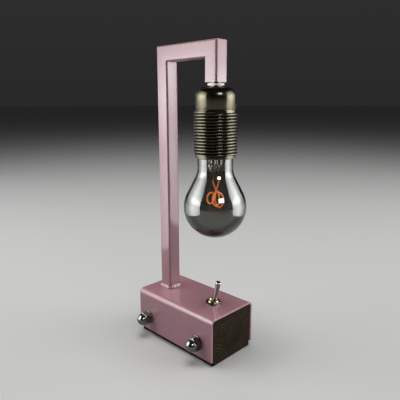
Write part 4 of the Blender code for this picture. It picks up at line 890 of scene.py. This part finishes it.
def build_cap(steps=160):
    """The cap: a rounded thread, a flange at the open rim and an eye at the contact end."""
    bore, rim, rim_height, eye, shelf, end = 0.0117, 0.0130, 0.0018, 0.0102, 0.0177, 0.0182
    crown, crown_foot = 0.0115, 0.0170
    heights = np.linspace(rim_height + 0.0002, crown_foot - 0.0002, 110)
    thread = helix_rows(heights, steps, CAP_ROOT, CAP_CREST, CAP_PITCH, start=0.0032, turns=3.25,
                        shape=round_ridge)
    rest = filleted([(CAP_ROOT, crown_foot), (crown, end, 0.0004), (eye, end), (eye, shelf),
                     (bore, shelf - 0.0012), (bore, 0), (rim, 0, 0.0003),
                     (rim, rim_height, 0.0003), (CAP_ROOT, rim_height + 0.0001)])
    rows = np.concatenate([thread, ring_rows(rest, steps)])
    bulb_piece("screw_cap", grid(rows, wrap_rows=True), "nickel", "bulb_cap")


# height, half width and half depth, from the flare down to the pinch's end
STEM = ((0.0048, 0.0112, 0.0112), (0.0039, 0.0112, 0.0112), (0.0018, 0.0072, 0.0072),
        (-0.0040, 0.0063, 0.0063), (-0.0125, 0.0062, 0.0062), (-0.0148, 0.0060, 0.0057),
        (-0.0175, 0.0054, 0.0046), (-0.0205, 0.0049, 0.0040), (-0.0225, 0.0040, 0.0032),
        (-0.0234, 0.0016, 0.0012))


def build_stem(steps=128, levels=150):
    """The stem: a flare, a fluted tube, and a crumpled pinch that holds the leads."""
    heights = np.linspace(STEM[0][0], STEM[-1][0], levels)[:, None]
    angles = angles_of(steps)
    keys = np.array(STEM)[::-1].T
    wide, deep = (np.interp(heights, keys[0], half) for half in keys[1:])
    rng = np.random.default_rng(3)
    flute = np.cos(10 * angles + 0.6)
    fold = 0
    for waves in (3, 5, 7):
        pace, start = rng.uniform(350, 900), rng.uniform(0, 6)
        fold = fold + 1 - 2 * np.abs(np.sin(waves * angles + heights * pace + start))
    in_tube = np.interp(heights, [-0.0165, -0.0130, -0.0020, 0.0010], [0.0, 1.0, 1.0, 0.0])
    in_pinch = np.interp(heights, [-0.0234, -0.0215, -0.0155, -0.0125], [0.5, 1.0, 1.0, 0.0])
    size = 1 + 0.090 * flute * in_tube + 0.10 * fold * in_pinch
    x, y, z = np.broadcast_arrays(wide * np.cos(angles) * size, deep * np.sin(angles) * size,
                                  heights)
    bulb_piece("pinched_stem", ended(np.stack([x, y, z], axis=2)), "clear_glass", "glass_stem",
               sharp=50)


# the strip, in mm, down one leg, round three loops and up the other leg: across the view that
# the camera has, toward the camera, and up
STRIP = ((-2.4, 0.8, 18.2), (-1.1, 0.7, 14.2), (0.6, 0.9, 10.0), (3.0, 2.0, 8.0),
         (6.4, 2.8, 5.6), (8.0, 3.0, 0.8), (7.1, 3.0, -3.9), (4.4, 2.6, -6.9), (1.5, 2.2, -5.2),
         (0.2, 1.6, -0.5), (0.1, 1.0, 5.0), (1.3, 0.4, 8.0), (3.4, 0.0, 5.4), (4.1, -0.2, 0.0),
         (3.0, -0.4, -4.8), (0.8, -0.6, -6.3), (-1.6, -0.8, -4.2), (-2.5, -1.0, 0.4),
         (-1.8, -1.2, 5.4), (-3.6, -2.0, 6.5), (-6.4, -2.8, 4.5), (-7.6, -3.0, 0.3),
         (-6.5, -3.0, -3.5), (-4.2, -2.8, -4.5), (-1.9, -2.4, -2.2), (-1.0, -1.9, 2.4),
         (0.1, -1.5, 7.0), (1.5, -1.2, 10.6), (2.9, -1.2, 15.0), (4.0, -1.2, 19.2))


def build_filament():
    # wires from the pinch to the two ends of the strip with the painted glow
    for name, side in (("lead_left", -1), ("lead_right", 1)):
        wire = smooth_path([(side * 0.0010, 0, -0.0228), (side * 0.0016, 0, -0.0255),
                            (side * 0.0024, 0, -0.0290)], 30)
        bulb_piece("support_" + name, swept(wire, 0.00035, 12), "hot_copper", name)
    c, s, middle, mm = 0.711, 0.703, -0.0478, 0.001
    path = smooth_path([(mm * (c * across + s * near), mm * (s * across - c * near),
                         mm * up + middle) for across, near, up in STRIP], 420)
    bulb_piece("curled_filament", swept(path, 0.0007, 14), "amber_filament", "filament")


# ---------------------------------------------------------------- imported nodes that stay

KEPT = {
    "wood_block": "end_wood", "cord_inlet_bush": "black_plastic", "tie_rod_left": "zinc_steel",
    "tie_rod_right": "zinc_steel", "drop_plug": "paint", "switch_body": "black_plastic",
    "switch_back_nut": "zinc_steel", "switch_lug_common": "brass", "switch_lug_load": "brass",
    "inner_flex": "black_flex", "nipple": "zinc_steel", "holder_core": "porcelain",
    "thread_shell": "brass", "centre_contact": "brass", "terminal_screw_live": "brass",
    "terminal_screw_neutral": "brass", "cap_insulator": "black_glass", "tip_contact": "solder",
}


def dress_nodes():
    for name, look in KEPT.items():
        NODES[name].data.materials.clear()
        NODES[name].data.materials.append(LOOKS[look])


# ---------------------------------------------------------------- stage

def build_floor():
    ground = bpy.data.materials.new("ground")
    ground.use_nodes = True
    shader = ground.node_tree.nodes["Principled BSDF"]
    shader.inputs["Base Color"].default_value = (*FLOOR_COLOUR, 1)
    shader.inputs["Roughness"].default_value = 0.9
    shader.inputs["Specular IOR Level"].default_value = 0
    mesh = bpy.data.meshes.new("floor")
    a = FLOOR_HALF_SIZE
    mesh.from_pydata([(-a, -a, 0), (a, -a, 0), (a, a, 0), (-a, a, 0)], [], [(0, 1, 2, 3)])
    mesh.materials.append(ground)
    floor = bpy.data.objects.new("floor", mesh)
    SCENE.collection.objects.link(floor)


def build_room():
    """A dim white room, a little lighter overhead."""
    world = bpy.data.worlds.new("studio")
    SCENE.world = world
    world.use_nodes = True
    tree = world.node_tree
    back = tree.nodes["Background"]
    back.inputs["Color"].default_value = (1, 1, 1, 1)
    way = tree.nodes.new("ShaderNodeTexCoord")
    split = tree.nodes.new("ShaderNodeSeparateXYZ")
    rise = tree.nodes.new("ShaderNodeMapRange")
    rise.inputs["To Min"].default_value = ROOM_LOW
    rise.inputs["To Max"].default_value = ROOM_HIGH
    tree.links.new(way.outputs["Generated"], split.inputs[0])
    tree.links.new(split.outputs["Z"], rise.inputs["Value"])
    tree.links.new(rise.outputs["Result"], back.inputs["Strength"])


def panel(name, azimuth, distance, width, low, high, radiance, shows, height=None, soft=None):
    """A soft light that faces the bulb's axis, at a height or level. The azimuth is 0 at -Y and
    90 at +X. It shows in matt surfaces or in gloss, and soft dims it toward its edges."""
    a = radians(azimuth)
    place = Vector((DROP_X + sin(a) * distance, -cos(a) * distance, (low + high) / 2))
    light = bpy.data.lights.new(name, "AREA")
    light.shape = "RECTANGLE"
    light.size, light.size_y = width, high - low
    light.energy = radiance * pi * light.size * light.size_y
    thing = bpy.data.objects.new(name, light)
    SCENE.collection.objects.link(thing)
    aim = Vector((DROP_X, 0, place.z if height is None else height)) - place
    thing.location = place
    thing.rotation_euler = aim.to_track_quat("-Z", "Y").to_euler()
    thing.visible_camera = False
    thing.visible_glossy = shows == "gloss"
    thing.visible_diffuse = shows == "matt"
    if soft:
        feather(light, *soft)
    return thing


def feather(light, across, upward):
    """Dims a panel toward its edges. Each list is of (place, share) from one edge to the other."""
    light.use_nodes = True
    tree = light.node_tree
    place = tree.nodes.new("ShaderNodeNewGeometry")
    split = tree.nodes.new("ShaderNodeSeparateXYZ")
    tree.links.new(place.outputs["Parametric"], split.inputs[0])
    product = tree.nodes.new("ShaderNodeMath")
    product.operation = "MULTIPLY"
    for k, stops in enumerate((across, upward)):
        curve = tree.nodes.new("ShaderNodeValToRGB")
        curve.color_ramp.interpolation = "EASE"
        fill_ramp(curve.color_ramp, [(spot, (share, share, share)) for spot, share in stops])
        tree.links.new(split.outputs[k], curve.inputs["Fac"])
        tree.links.new(curve.outputs["Color"], product.inputs[k])
    tree.links.new(product.outputs[0], tree.nodes["Emission"].inputs["Strength"])


def build_lights():
    """The big soft lights stand well back; near cards give gloss its long reflections."""
    big = {"width": 1.1, "low": 0.25, "high": 1.25, "shows": "matt", "height": 0.15}
    panel("key_left", -50, 1.15, radiance=KEY_LEFT, **big)
    panel("key_right", 140, 1.25, radiance=KEY_RIGHT, **big)
    upward = [(0, 0.40), (0.26, 0.54), (0.45, 1.0), (0.60, 0.58), (0.80, 0.32), (1, 0.0)]
    hot = [(0, 0.0), (0.26, 0.24), (0.62, 1.0), (0.82, 0.85), (1, 0.55)]
    mirrored = [(1 - place, share) for place, share in reversed(hot)]
    card = {"low": 0, "high": 0.57, "radiance": CARD, "shows": "gloss"}
    panel("card_left", -52, 0.33, width=0.554, soft=(hot, upward), **card)
    panel("card_right", 143, 0.33, width=0.480, soft=(mirrored, upward), **card)
    # two lights in one place would hide each other from gloss, so the card stands a little nearer
    small = {"low": 0.569, "height": 0.16}
    panel("small_light", 68, 0.95, width=0.34, high=0.843, radiance=SMALL, shows="matt", **small)
    panel("small_card", 68, 0.90, width=0.33, high=0.835, radiance=GLINT, shows="gloss", **small)
    top = panel("top_light", 0, 0, width=1.2, low=1.3, high=2.3, radiance=TOP, shows="matt")
    top.rotation_euler = (0, 0, 0)


def build_camera():
    """The photograph's camera: its place, its angles in radians and its focal length in pixels."""
    spot = Vector((0.306995, -0.300629, 0.245102))
    yaw, pitch, roll = 0.7806, 0.2166, -0.002
    focal, pixels, sensor = 437.8246, 400, 36
    forward = Vector((-sin(yaw) * cos(pitch), cos(yaw) * cos(pitch), -sin(pitch)))
    right = Vector((cos(yaw), sin(yaw), 0))
    up = right.cross(forward)
    right, up = cos(roll) * right + sin(roll) * up, cos(roll) * up - sin(roll) * right
    camera = bpy.data.objects.new("camera", bpy.data.cameras.new("camera"))
    SCENE.collection.objects.link(camera)
    camera.matrix_world = Matrix((
        (right.x, up.x, -forward.x, spot.x), (right.y, up.y, -forward.y, spot.y),
        (right.z, up.z, -forward.z, spot.z), (0, 0, 0, 1)))
    camera.data.sensor_width = sensor
    camera.data.lens = focal * sensor / pixels
    camera.data.clip_start, camera.data.clip_end = 0.01, 50
    SCENE.camera = camera


make_looks()
build_camera()
build_cover()
build_rods()
build_frame()
build_switch()
build_holder()
build_globe()
build_cap()
build_stem()
build_filament()
dress_nodes()
build_floor()
build_room()
build_lights()
SCENE.view_settings.view_transform = "Standard"
